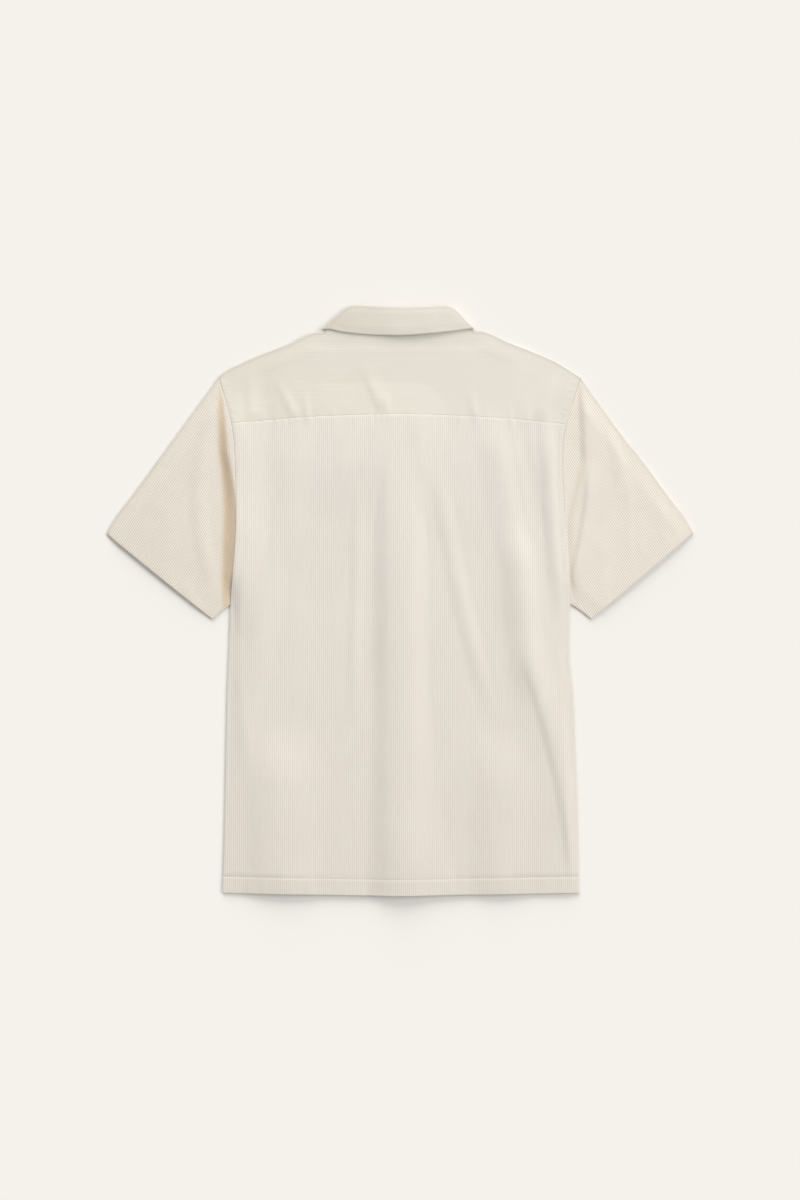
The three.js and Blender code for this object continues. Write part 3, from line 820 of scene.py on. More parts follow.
@dataclass(frozen=True)
class JerseyFinish:
    """Matt ribbed jersey, with streaks along its ribs, painted shade in its grooves and fine courses of
    stitches.

    Its hollows get a warm painted shade and its folded edges, which the weave's third value gives below
    zero, a grey painted shade; a painted light falloff runs over it all.
    """

    name: str
    light: tuple[float, float, float] = (0.755, 0.713, 0.657)
    shade: tuple[float, float, float] = (0.64, 0.588, 0.515)
    # Warm painted shade for the dips beside the armholes, with light bounced from the cloth painted in
    painted_shade_tint: tuple[float, float, float] = (0.93, 0.82, 0.69)
    # Colour of the painted shade in the rib grooves
    groove_shade: tuple[float, float, float] = (0.6, 0.53, 0.43)
    # Colour of the painted shade on folded edges, which would otherwise catch too much light
    rim: tuple[float, float, float] = (0.86, 0.85, 0.84)
    # Strength of the painted shade in the rib grooves
    groove: float = 0.06
    streak: float = 0.5
    course: float = 1.15
    grain: float = 0.3
    # How steeply the painted light falloff runs across X
    fade: float = 0.1
    sheen: float = 0.1

    def material(self) -> bpy.types.Material:
        """Builds the node material.

        Returns:
            The material.
        """
        graph = Graph(self.name)
        weave = graph.value("ShaderNodeAttribute", {"attribute_name": "weave"}, {}, "Vector")
        across, along, hollow_shade = graph.parts(weave)
        crest = (across / RIB_PITCH + 0.25).wave()
        groove = (1.0 - crest) ** 3.0
        streaks = graph.noise_over(across * (1.7 / RIB_PITCH), along * 0.02, 3.0)
        patches = graph.noise_over(across * 0.012, along * 0.009, 2.0)
        fibres = graph.noise_over(across * 2.6, along * 1.1, 2.0)
        # Painted light falloff added to the random streaks and patches
        share = streaks * self.streak + patches * 0.3 + self.painted_falloff(graph)
        # Warm painted shade where the third weave value is above zero
        colour = graph.with_painted_shade(graph.tint(share, self.light, self.shade), hollow_shade, self.painted_shade_tint)
        # Grey painted shade on folded edges, where that value is below zero, and painted shade in the rib
        # grooves
        colour = graph.with_painted_shade(graph.with_painted_shade(colour, -hollow_shade, self.rim), groove * self.groove, self.groove_shade)
        courses = (along / self.course + abs(crest - 0.5) * 0.6).wave()
        relief = courses * 0.3 + fibres * 0.3 - groove * 0.4
        sockets = {
            "Base Color": colour,
            "Roughness": 0.86 + fibres * 0.1,
            "Normal": graph.bump(relief, self.grain, 0.1),
            "Sheen Weight": self.sheen,
            "Sheen Roughness": 0.6,
            "Specular IOR Level": 0.25,
        }
        return graph.surface(sockets)

    def painted_falloff(self, graph: Graph) -> Signal:
        """Painted light falloff: colour lightest at the right shoulder and darker down to the left of the
        hem, as lit from the upper right.
        """
        x, y, _ = graph.parts(graph.place())
        return -0.16 - x * self.fade - y * 0.75


@dataclass(frozen=True)
class ThreadFinish:
    """Twisted sewing thread."""

    name: str = "thread"
    light: tuple[float, float, float] = (0.84, 0.79, 0.71)
    shade: tuple[float, float, float] = (0.7, 0.64, 0.55)

    def material(self) -> bpy.types.Material:
        """Builds the node material.

        Returns:
            The material.
        """
        graph = Graph(self.name)
        x, y, _ = graph.parts(graph.place())
        twist = ((x + y) * 2400.0).wave()
        colour = graph.tint(twist, self.light, self.shade)
        return graph.surface({"Base Color": colour, "Roughness": 0.6, "Normal": graph.bump(twist, 0.4, 0.05)})


@dataclass(frozen=True)
class ButtonFinish:
    """Cast resin with a faint cloud in it and a soft shine."""

    name: str = "button_resin"
    light: tuple[float, float, float] = (0.83, 0.77, 0.66)
    shade: tuple[float, float, float] = (0.7, 0.62, 0.5)

    def material(self) -> bpy.types.Material:
        """Builds the node material.

        Returns:
            The material.
        """
        graph = Graph(self.name)
        place = graph.place()
        cloud = graph.noise(place, 260.0, 4.0, 1.5)
        scuffs = graph.noise(place, 2200.0, 2.0)
        sockets = {
            "Base Color": graph.tint(cloud, self.light, self.shade),
            "Roughness": 0.24 + scuffs * 0.16,
            "Subsurface Weight": 0.1,
            "Subsurface Scale": 0.002,
        }
        return graph.surface(sockets)


@dataclass(frozen=True)
class FloorFinish:
    """Plain pale paper that the shirt lies on."""

    name: str = "floor_paper"
    colour: tuple[float, float, float] = (0.844, 0.828, 0.799)

    def material(self) -> bpy.types.Material:
        """Builds the node material."""
        sockets = {"Base Color": (*self.colour, 1.0), "Roughness": 0.95, "Specular IOR Level": 0.1}
        return Graph(self.name).surface(sockets)


EDGE_STEPS = (0.0, 0.35, 1.0)


def clamped_columns(places: Array, low: Array, high: Array) -> Array:
    """Places across a piece for each row, cut off at its edges, with close steps at both.

    Args:
        places: Places that the middle of every row shares.
        low: Lower edge of each row.
        high: Upper edge of each row.

    Returns:
        One row of places for each row of the piece.
    """
    room = np.minimum(1.0, (high - low) / (2.2 * EDGE_STEPS[-1]))[:, None]
    margin = EDGE_STEPS[-1] * room
    middle = np.clip(places[None, :], low[:, None] + margin, high[:, None] - margin)
    steps = np.array(EDGE_STEPS[:-1])[None, :] * room
    return np.concatenate([low[:, None] + steps, middle, high[:, None] - steps[:, ::-1]], axis=1)


def padded_rise(rise: Array) -> Array:
    """Heights of the ribs with level columns added for the close steps at both edges."""
    flat = np.zeros(len(EDGE_STEPS) - 1)
    return np.concatenate([flat, rise, flat])


def paced(low: float, high: float, step: float, close: Sequence[float] = ()) -> Array:
    """Even places from one end to the other, with close ones at both ends.

    Args:
        low: Lower end.
        high: Upper end.
        step: Wished distance between the even places.
        close: Further places that have to be there.

    Returns:
        The places, in rising order.
    """
    ends = [*EDGE_STEPS, 2.4]
    even = np.linspace(low + 4.0, high - 4.0, max(2, round((high - low - 8.0) / step) + 1))
    free = [place for place in even if all(abs(place - other) > 0.3 * step for other in close)]
    return np.array(sorted([low + e for e in ends] + [high - e for e in ends] + free + list(close)))


def fasten(piece: bpy.types.Object, material: bpy.types.Material) -> None:
    """Gives a piece its material, its body and its slot, and logs it.

    Args:
        piece: The piece.
        material: Its material.
    """
    piece.data.materials.append(material)
    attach(piece, BODY)
    LOG.info("%s: %d points, %d faces", piece.name, len(piece.data.vertices), len(piece.data.polygons))


@dataclass
class BodyPiece:
    """What every cloth piece shares: its finish and its node in the frame."""

    shape: LaidShape
    finish: bpy.types.Material

    def dress(
        self,
        piece: bpy.types.Object,
        nodes: Sequence[str],
        flat: tuple[float, float],
        area: float,
        rests_on: Sequence[str],
        slot: str = "ribbed_jersey",
    ) -> bpy.types.Object:
        """Args:
            piece: The piece.
            nodes: Nodes of the frame that it stands for.
            flat: Width and length of its cut, in metres; not used.
            area: Flat area of its cut, in square metres; not used.
            rests_on: Names of what it lies on; not used.
            slot: Material slot of the record; not used.

        Returns:
            The piece.
        """
        fasten(piece, self.finish)
        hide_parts(*nodes)
        return piece


@dataclass
class BackPanel(BodyPiece):
    """Back below the yoke, with upright ribs cut off by its sides and a turned hem."""

    ribs: Ribs = field(default_factory=Ribs)
    row_step: float = 6.2

    def rows(self) -> tuple[Array, float]:
        """Places of the rows of points.

        Returns:
            The rows' distances above the hem, and the panel's height at its middle.
        """
        height = float(YOKE_SEAM(0.0) - YOKE_GAP - HEM(0.0))
        close = [HEM_DEPTH + step for step in (-1.4, -0.6, 0.0, 0.6, 1.4)]
        return paced(0.0, height, self.row_step, close), height

    def build(self) -> bpy.types.Object:
        """Builds and dresses the panel.

        Returns:
            The panel.
        """
        rows, height = self.rows()
        places, rise = self.ribs.columns(-234, 232)
        share = rows / height

        def y_at(x: Array) -> Array:
            """Y of each row at each place across the panel."""
            foot = HEM(x)
            return foot + (YOKE_SEAM(x) - YOKE_GAP - foot) * share[:, None]

        low = BODY_LEFT(y_at(np.full((len(rows), 1), -220.0)))[:, 0]
        high = BODY_RIGHT(y_at(np.full((len(rows), 1), 218.0)))[:, 0]
        x = clamped_columns(places, low, high)
        y = y_at(x)
        shape = self.shape
        from_side = np.minimum(x - low[:, None], high[:, None] - x)
        above_hem = y - HEM(x)
        below_seam = YOKE_SEAM(x) - YOKE_GAP - y
        under = shape.back_underside(x, y)
        fade = ease(below_seam, 0.2, 2.2) * ease(from_side, 1.0, 2.2)
        fade = fade * mix(0.75, 1.0, ease(above_hem, 0.5, 4))
        sewn = 1.0 - 0.55 * bell(above_hem - HEM_DEPTH, 0.8)
        side_round = mix(round_off(from_side, 2.2, 0.5), round_off(from_side, 0.8, 0.12), ease(y, -30, 10))
        outer = under + WALL + padded_rise(rise) * fade * sewn
        outer += shape.welt(x, y) + shape.hem_relief(above_hem)
        outer -= side_round + round_off(above_hem, 0.7, 0.2) + round_off(below_seam, 1.2, 0.14)
        shell = ClothShell("back_panel", layered(x, y, outer), layered(x, y, under), layered(x, y, 0 * x))
        return self.dress(shell.build(), ["back"], (0.465, 0.64), 0.276, BOTH_FRONTS)


@dataclass
class YokePanel(BodyPiece):
    """Yoke across the shoulders, with flat ribs along X."""

    ribs: Ribs = field(default_factory=lambda: Ribs(height=0.05))
    row_step: float = 3.2
    half_width: float = 230.4

    def bottom(self, x: Array) -> Array:
        """Lower edge: the yoke seam, and past its ends the armholes.

        Args:
            x: Places across the shirt.

        Returns:
            The edge's Y at each place.
        """
        y = np.linspace(225.0, 285.4, 60)
        left = np.interp(-x, -BODY_LEFT(y), y)
        right = np.interp(x, BODY_RIGHT(y), y)
        return np.where(x < YOKE_ENDS[0], left, np.where(x > YOKE_ENDS[1], right, YOKE_SEAM(x)))

    def build(self) -> bpy.types.Object:
        """Builds and dresses the yoke.

        Returns:
            The yoke.
        """
        stations = paced(-self.half_width, self.half_width, self.row_step, (*YOKE_ENDS, *FALL_ENDS))
        low, high = self.bottom(stations), SHOULDER(stations)
        places, rise = self.ribs.columns(224, 350)
        y = clamped_columns(places, low, high)
        x = np.repeat(stations[:, None], y.shape[1], axis=1)
        shape = self.shape
        above_low, below_high = y - low[:, None], high[:, None] - y
        under = shape.back_underside(x, y)
        inside = shape.inside(x, y)
        fade = ease(above_low, 1.0, 2.2) * ease(below_high, 1.0, 2.6) * ease(inside, 0.0, 1.2)
        outer = under + WALL + padded_rise(rise) * fade + shape.welt(x, y)
        outer -= round_off(above_low, 0.8, 0.16) + round_off(below_high, 1.4, 0.45)
        outer -= round_off(inside, 0.8, 0.12)
        # Third weave value: painted shade on the rounded edge along the shoulders
        weave = layered(y, x, FOLD_PAINTED_SHADE * ease(below_high, 6.0, 0.5))
        shell = ClothShell("yoke_panel", layered(x, y, outer), layered(x, y, under), weave, row_stride=4)
        return self.dress(shell.build(), ["yoke"], (0.466, 0.128), 0.0468, BOTH_FRONTS)


@dataclass
class FrontPanel(BodyPiece):
    """One front, lying on the surface, from its side to its placket and the edge of the V."""

    side: Side = Side.LEFT
    ribs: Ribs = field(default_factory=Ribs)
    row_step: float = 8.0
    hem_y: float = -373.0
    top_y: float = 344.0

    def outer_edge(self, y: Array) -> Array:
        """X of the side, the armhole or the shoulder, a little inside the back's edge.

        Args:
            y: Places along the shirt.

        Returns:
            The edge's X at each place.
        """
        x = np.linspace(101.0, 231.0, 60) * self.side.value
        shoulder_x = np.interp(-y, -SHOULDER(x), x)
        body = self.shape.edge(y, self.side)
        edge = np.where(y < 284.5, body, shoulder_x)
        return edge - FRONT_INSET * self.side.value

    def placket_edge(self, y: Array) -> Array:
        """X of the placket's edge, and above its foot of the V's edge."""
        share = np.clip((y - V_FOOT_Y) / (V_TOP[1] - V_FOOT_Y), 0.0, 1.0)
        return -self.side.value * mix(PLACKET_HALF, -V_TOP[0], share)

    def build(self) -> bpy.types.Object:
        """Builds and dresses the front.

        Returns:
            The front.
        """
        stitch_y = self.hem_y + HEM_DEPTH - 1.0
        close = (stitch_y - 0.8, stitch_y, stitch_y + 0.8, V_FOOT_Y, SHOULDER_TIP_Y - 1.0)
        rows = paced(self.hem_y, self.top_y, self.row_step, close)
        ends = np.stack([self.outer_edge(rows), self.placket_edge(rows)])
        low, high = ends.min(axis=0), ends.max(axis=0)
        places, rise = self.ribs.columns(low.min(), high.max())
        x = clamped_columns(places, low, high)
        y = np.repeat(rows[:, None], x.shape[1], axis=1)
        is_upper = self.side is Side.RIGHT
        under = self.shape.front_underside(x, y, is_upper)
        from_outer = np.abs(x - self.outer_edge(rows)[:, None])
        from_placket = np.abs(x - self.placket_edge(rows)[:, None])
        from_ends = np.minimum(y - rows[0], rows[-1] - y)
        fade = ease(from_outer, 1.0, 2.2) * ease(from_placket, 1.0, 2.2)
        grooves = (self.ribs.height - padded_rise(rise)) * fade
        stitched = 0.25 * bell(y - stitch_y, 0.7)
        seam = mix(round_off(from_outer, 2.4, 0.8), round_off(from_outer, 1.2, 0.4), ease(y, -30, 10))
        lower = under + grooves + stitched + seam
        lower += round_off(from_placket, 1.2, 0.5) + round_off(from_ends, 1.2, 0.5)
        lower = np.minimum(lower, under + WALL - 0.2)
        name = f"front_{self.side.name.lower()}"
        upper = under + WALL
        shell = ClothShell(f"{name}_panel", layered(x, y, lower), layered(x, y, upper), layered(x, y, 0 * x))
        rests_on = [] if self.side is Side.LEFT else ["front_left_panel"]
        return self.dress(shell.build(), [name], (0.246, 0.722), 0.158, rests_on)


@dataclass
class Sleeve(BodyPiece):
    """Short set-in sleeve: a flat tube, open at the cuff and at the armhole, with ribs along it."""

    side: Side = Side.LEFT
    ribs: Ribs = field(default_factory=lambda: Ribs(height=0.44))
    row_count: int = 44
    cuff_bow: float = 0.8
    roll: float = 23.0
    fold_radius: float = (2 * WALL + SEAM_GAP) / 2
    uneven: Unevenness = Unevenness(seed=21, height=0.08, shortest=26, longest=90)

    @property
    def tip(self) -> Array:
        """Shoulder tip, where the upper fold starts."""
        return np.array([self.shape.edge(SHOULDER_TIP_Y, self.side), SHOULDER_TIP_Y])

    @property
    def cuff_outer(self) -> Array:
        """Corner of the cuff on the upper fold."""
        return np.array([-374.0, 83.2] if self.side is Side.LEFT else [374.6, 84.9])

    @property
    def cuff_inner(self) -> Array:
        """Corner of the cuff on the lower fold."""
        return np.array([-239.7, -24.8] if self.side is Side.LEFT else [244.2, -24.4])

    def axes(self) -> tuple[Array, Array]:
        """Directions of the sleeve's frame.

        Returns:
            The one along the upper fold and the one across to the lower fold.
        """
        run = self.cuff_outer - self.tip
        along = run / np.linalg.norm(run)
        return along, np.array([along[1], -along[0]]) * self.side.value

    def to_frame(self, x: Array, y: Array) -> tuple[Array, Array]:
        """Places along and across the sleeve of points on the shirt.

        Args:
            x: Places across the shirt.
            y: Places along the shirt.

        Returns:
            The places along it, and those across it.
        """
        along, across = self.axes()
        from_x, from_y = x - self.tip[0], y - self.tip[1]
        return from_x * along[0] + from_y * along[1], from_x * across[0] + from_y * across[1]

    def from_frame(self, along: Array, across: Array) -> tuple[Array, ...]:
        """Points on the shirt of places along and across the sleeve."""
        along_axis, across_axis = self.axes()
        return tuple(self.tip[n] + along_axis[n] * along + across_axis[n] * across for n in range(2))

    def seam_line(self) -> tuple[Array, Array]:
        """Points of the body's edge at the armhole, from the shoulder tip down."""
        y = np.linspace(UNDERARM_Y, SHOULDER_TIP_Y, 90)[::-1]
        return self.shape.edge(y, self.side), y

    def armhole(self) -> tuple[Array, Array]:
        """The armhole seam in the sleeve's frame, in rising order across it."""
        x, y = self.seam_line()
        return self.to_frame(x + ARMHOLE_GAP * self.side.value, y)

    def seam_level(self, across: Array) -> Array:
        """Height of the body's underside where each line across the sleeve meets the armhole."""
        level = self.shape.back_underside(*self.seam_line()) - WALL - SEAM_GAP
        return np.interp(across, self.armhole()[1], level)

    def level(self, x: Array, y: Array, head: Array) -> Array:
        """Level of the upper layer: from the seam's down to a trough, up to a ridge and down to the cuff.

        Args:
            x: Places across the shirt.
            y: Places along the shirt.
            head: Level at the armhole seam.

        Returns:
            The height above the level at which both layers touch.
        """
        outward = (x - self.shape.edge(y, self.side)) * self.side.value
        fall = SEAM_FALL[self.side]
        fallen = ease(outward, fall.start(y), fall.end(y))
        risen = ease(outward, fall.end(y), fall.ridge(y))
        spread = ease(outward, fall.ridge(y), fall.ridge(y) + fall.spread)
        return mix(mix(mix(head, fall.trough, fallen), fall.crest(y), risen), fall.rest, spread)

    def hollow_shade(self, x: Array, y: Array) -> Array:
        """Share by which each point lies in the dip beside the body, where a warm painted shade stands for
        the shade there and the light that comes by way of cloth.

        Args:
            x: Places across the shirt.
            y: Places along the shirt.

        Returns:
            The share at each point.
        """
        outward = (x - self.shape.edge(y, self.side)) * self.side.value
        fall = SEAM_FALL[self.side]
        near, far = fall.start(y), fall.end(y)
        if self.side is Side.RIGHT:
            near, far = far, fall.ridge(y)
        inside = ease(outward, near - 1.0, near + 3.0) * ease(outward, far + 5.0, far - 2.0)
        return fall.hollow_shade * inside * ease(y, 286.0, 250.0)

    def build(self) -> bpy.types.Object:
        """Builds and dresses the sleeve: its upper layer, one fold, its lower layer and the other fold.

        Returns:
            The sleeve.
        """
        hole_along, hole_across = self.armhole()
        length = float(np.linalg.norm(self.cuff_outer - self.tip))
        cuff_along, cuff_across = (float(value) for value in self.to_frame(*self.cuff_inner))
        spread = np.linspace(0.0, 1.0, self.row_count)
        share = np.unique(np.concatenate([[0.0, 0.004, 0.012, 0.03], spread[1:-1], [0.985, 0.995, 1.0]]))
        share = share[:, None]
        width = mix(hole_across[-1], cuff_across, share)
        bow = -UPPER_FOLD[self.side](share)
        radius = self.fold_radius
        places, rise = self.ribs.columns(-8, 184)
        turn = np.linspace(0.0, np.pi, 7)[1:-1]
        flat = np.clip(places * np.ones_like(share), bow + radius, width - radius)
        far_fold = width - radius + radius * np.sin(turn)
        near_fold = bow + radius - radius * np.sin(turn)
        across = np.concatenate([flat, far_fold, flat[:, ::-1], near_fold], axis=1)
        held = np.clip(across, 0.0, width)

        part = np.clip(held / cuff_across, 0.0, 1.1)
        cuff = mix(length, cuff_along, part) + self.cuff_bow * 4.0 * part * (1.0 - part)
        hole = np.interp(held, hole_across, hole_along)
        along = mix(hole, cuff, share)
        x, y = self.from_frame(along, across)
        from_hole, from_cuff = along - hole, along[-1:] - along
        near = np.minimum(across - bow, width - across)
        creases = relief_of(SLEEVE_CREASES[self.side], x, y) + self.uneven(x, y)
        level = self.level(x, y, self.seam_level(held)) + creases * ease(from_hole, 0.0, 12.0)
        gap = SEAM_GAP + ease(near, radius * 0.8, self.roll) * np.maximum(level, 0.0)

        columns, arc = len(places), len(turn)
        is_top, is_low = np.zeros((2, across.shape[1]), dtype=bool)
        is_top[:columns] = True
        is_low[columns + arc : 2 * columns + arc] = True
        ribbed = np.concatenate([rise, np.zeros(arc), rise[::-1], np.zeros(arc)])
        fade = ease(near, radius, radius + 1.5) * ease(from_hole, 0.1, 1.4)
        sewn = round_off(from_hole, 0.8, 0.12) + round_off(from_cuff, 1.4, 0.5)
        upper = WALL + gap + WALL + ribbed * fade - sewn
        outer_z = np.where(is_top, upper, (self.ribs.height - ribbed) * 0.7 * fade)
        inner_z = np.where(is_top, WALL + gap, WALL)
        fold_z = radius + radius * np.cos(turn)
        for start, heights in ((columns, fold_z), (2 * columns + arc, fold_z[::-1])):
            outer_z[:, start : start + arc] = heights
            inner_z[:, start : start + arc] = radius + 0.12 * (heights - radius)
        inner_x, inner_y = self.from_frame(along, np.clip(across, bow + WALL + 0.1, width - WALL - 0.1))
        # Third weave value: warm painted shade in the dip beside the body, and painted shade near the upper
        # fold
        painted_shade = self.hollow_shade(x, y) * is_top + FOLD_PAINTED_SHADE * ease(across - bow, 4.5, 1.0) * ~is_low

        def closed(*layers: Array) -> Array:
            """A grid whose loops end in their first column again."""
            loops = layered(*layers)
            return np.concatenate([loops, loops[:, :1]], axis=1)

        name = f"sleeve_{self.side.name.lower()}"
        shell = ClothShell(
            f"{name}_tube",
            closed(x, y, outer_z),
            closed(inner_x, inner_y, inner_z),
            closed(across, along, painted_shade),
            is_tube=True,
            row_stride=3,
            column_stride=6,
        )
        return self.dress(shell.build(), [name], (0.36, 0.255), 0.062, [])


@dataclass
class Collar(BodyPiece):
    """Open collar: its fall over the yoke, its fold, the stand down to the neck seam, and both leaves."""

    ribs: Ribs = field(default_factory=lambda: Ribs(height=0.08))
    left_end: float = -98.6
    right_end: float = 94.0
    leaf_reach: tuple[float, float] = (12.6, 123.2)
    station_step: float = 2.2
    fold_radius: float = 2.8
    crest: Crease = Crease((14, 400), (18, 330), 72, 2.8)
    uneven: Unevenness = Unevenness(seed=5, height=0.12, shortest=18, longest=70)

    def arm_end(self, x: Array) -> Array:
        """Y where the layer under the fold ends: the neck seam, and past the corners near the fold."""
        end = COLLAR_FOLD(x) - mix(26.0, 3.0, ease(np.abs(x), 66, 96))
        return mix(end, np.maximum(NECK_SEAM_Y + SEAM_GAP, end), ease(np.abs(x), 200, 60))

    def arm_level(self, x: Array) -> Array:
        """Height of the underside of that layer: the stand's at the back, the surface at the sides."""
        return STAND_UNDERSIDE * ease(np.abs(x), 67, 57)

    def build_band(self) -> bpy.types.Object:
        """Builds and dresses the fall, fold and stand as one wall.

        Returns:
            The band.
        """
        stations = paced(self.left_end, self.right_end, self.station_step)[:, None]
        edge = FALL_EDGE(stations)
        fold = np.maximum(COLLAR_FOLD(stations), edge + 1.2)
        radius = np.minimum(self.fold_radius, (fold - edge) * 0.45)
        start = fold - radius
        places, rise = self.ribs.columns(0.0, 41.0)
        close = len(EDGE_STEPS) - 1
        y = edge + clamped_columns(places, 0 * edge[:, 0], (start - edge)[:, 0])[:, :-close]
        x = stations + 0 * y
        from_edge, to_fold = y - edge, start - y
        ends = np.minimum(stations - self.left_end, self.right_end - stations)
        rise = np.concatenate([np.zeros(close), rise]) * ease(from_edge, 1.0, 2.6) * ease(to_fold, 1.05, 3.0)
        swell = 0.5 * ease(from_edge, 0, 12) * ease(to_fold, -2, 8) * ease(ends, 0, 16)
        uneven = self.uneven(x, y) * ease(ends, 0, 10)
        fall_under = FALL_UNDERSIDE + np.maximum(swell + uneven, 0.0) + self.crest.relief(x, y)
        fall_top = fall_under + COLLAR_WALL + rise
        fall_top -= round_off(from_edge, 1.6, 0.9) + round_off(ends, 1.2, 0.4)

        arm = self.arm_level(stations)
        turn = np.linspace(0.0, np.pi, 9)[1:-1]
        middle, half = (fall_top[:, -1:] + arm) / 2, (fall_top[:, -1:] - arm) / 2
        inner_half = np.maximum(half - COLLAR_WALL, 0.15)
        inner_radius = np.maximum(radius - COLLAR_WALL * 0.8, 0.1)
        arm_y = mix(start, self.arm_end(stations), np.linspace(0.0, 1.0, 7))
        arm_z = arm + 0 * arm_y
        outer_y = np.concatenate([y, start + radius * np.sin(turn), arm_y], axis=1)
        outer_z = np.concatenate([fall_top, middle + half * np.cos(turn), arm_z], axis=1)
        inner_y = np.concatenate([y, start + inner_radius * np.sin(turn), arm_y], axis=1)
        inner_roll_z = middle + inner_half * np.cos(turn)
        inner_z = np.concatenate([fall_under, inner_roll_z, arm_z + COLLAR_WALL], axis=1)
        all_x = stations + 0 * outer_y
        steps = np.hypot(np.diff(outer_y, axis=1), np.diff(outer_z, axis=1))
        travel = np.concatenate([0 * stations, np.cumsum(steps, axis=1)], axis=1)
        shell = ClothShell(
            "collar_band",
            layered(all_x, outer_y, outer_z),
            layered(all_x, inner_y, inner_z),
            # Third value: painted shade on the rounded fold
            layered(travel, all_x, FOLD_PAINTED_SHADE * ease(outer_y, fold - 6.5, fold - 1.5)),
            column_stride=4,
        )
        return self.dress(shell.build(), ["collar"], (0.2, 0.075), 0.0128, ["yoke_panel"], "collar_jersey")

    def build_leaf(self, side: Side) -> bpy.types.Object:
        """Builds and dresses the open leaf under one front.

        Args:
            side: Side of the wearer that the leaf is on.

        Returns:
            The leaf, from the collar's fold to its point and the foot of the V.
        """
        neck = 98.4 if side is Side.LEFT else 93.8
        ribs = Ribs()
        places, rise = ribs.columns(*self.leaf_reach)
        keep = (places > self.leaf_reach[0]) & (places < self.leaf_reach[1])
        places, rise = places[keep], rise[keep]
        roll = np.interp(places, [12.0, 58.0], [228.0, 374.0])
        outer = np.interp(places, [neck, 124.0], [345.4, 253.0])
        under_fold = self.arm_end(places * side.value) - 0.1
        high = np.where(places < 58, np.minimum(roll, under_fold), np.where(places < neck, under_fold, outer))
        low = np.minimum(LEAF_EDGE(places), high - 0.6)
        share = np.array([0.0, 0.01, 0.03, 0.2, 0.4, 0.6, 0.8, 0.97, 0.99, 1.0])
        y = low[:, None] + (high - low)[:, None] * share
        x = places[:, None] * side.value + 0 * y
        from_edge = np.minimum(y - low[:, None], high[:, None] - y)
        down = (ribs.height - rise)[:, None] * ease(from_edge, 0.2, 1.6) + round_off(from_edge, 1.4, 0.6)
        shell = ClothShell(
            f"collar_leaf_{side.name.lower()}",
            layered(x, y, down),
            layered(x, y, np.full_like(y, COLLAR_WALL)),
            layered(x, y, 0 * x),
            row_stride=4,
            column_stride=1,
        )
        return self.dress(shell.build(), ["collar"], (0.112, 0.15), 0.0087, [], "collar_jersey")


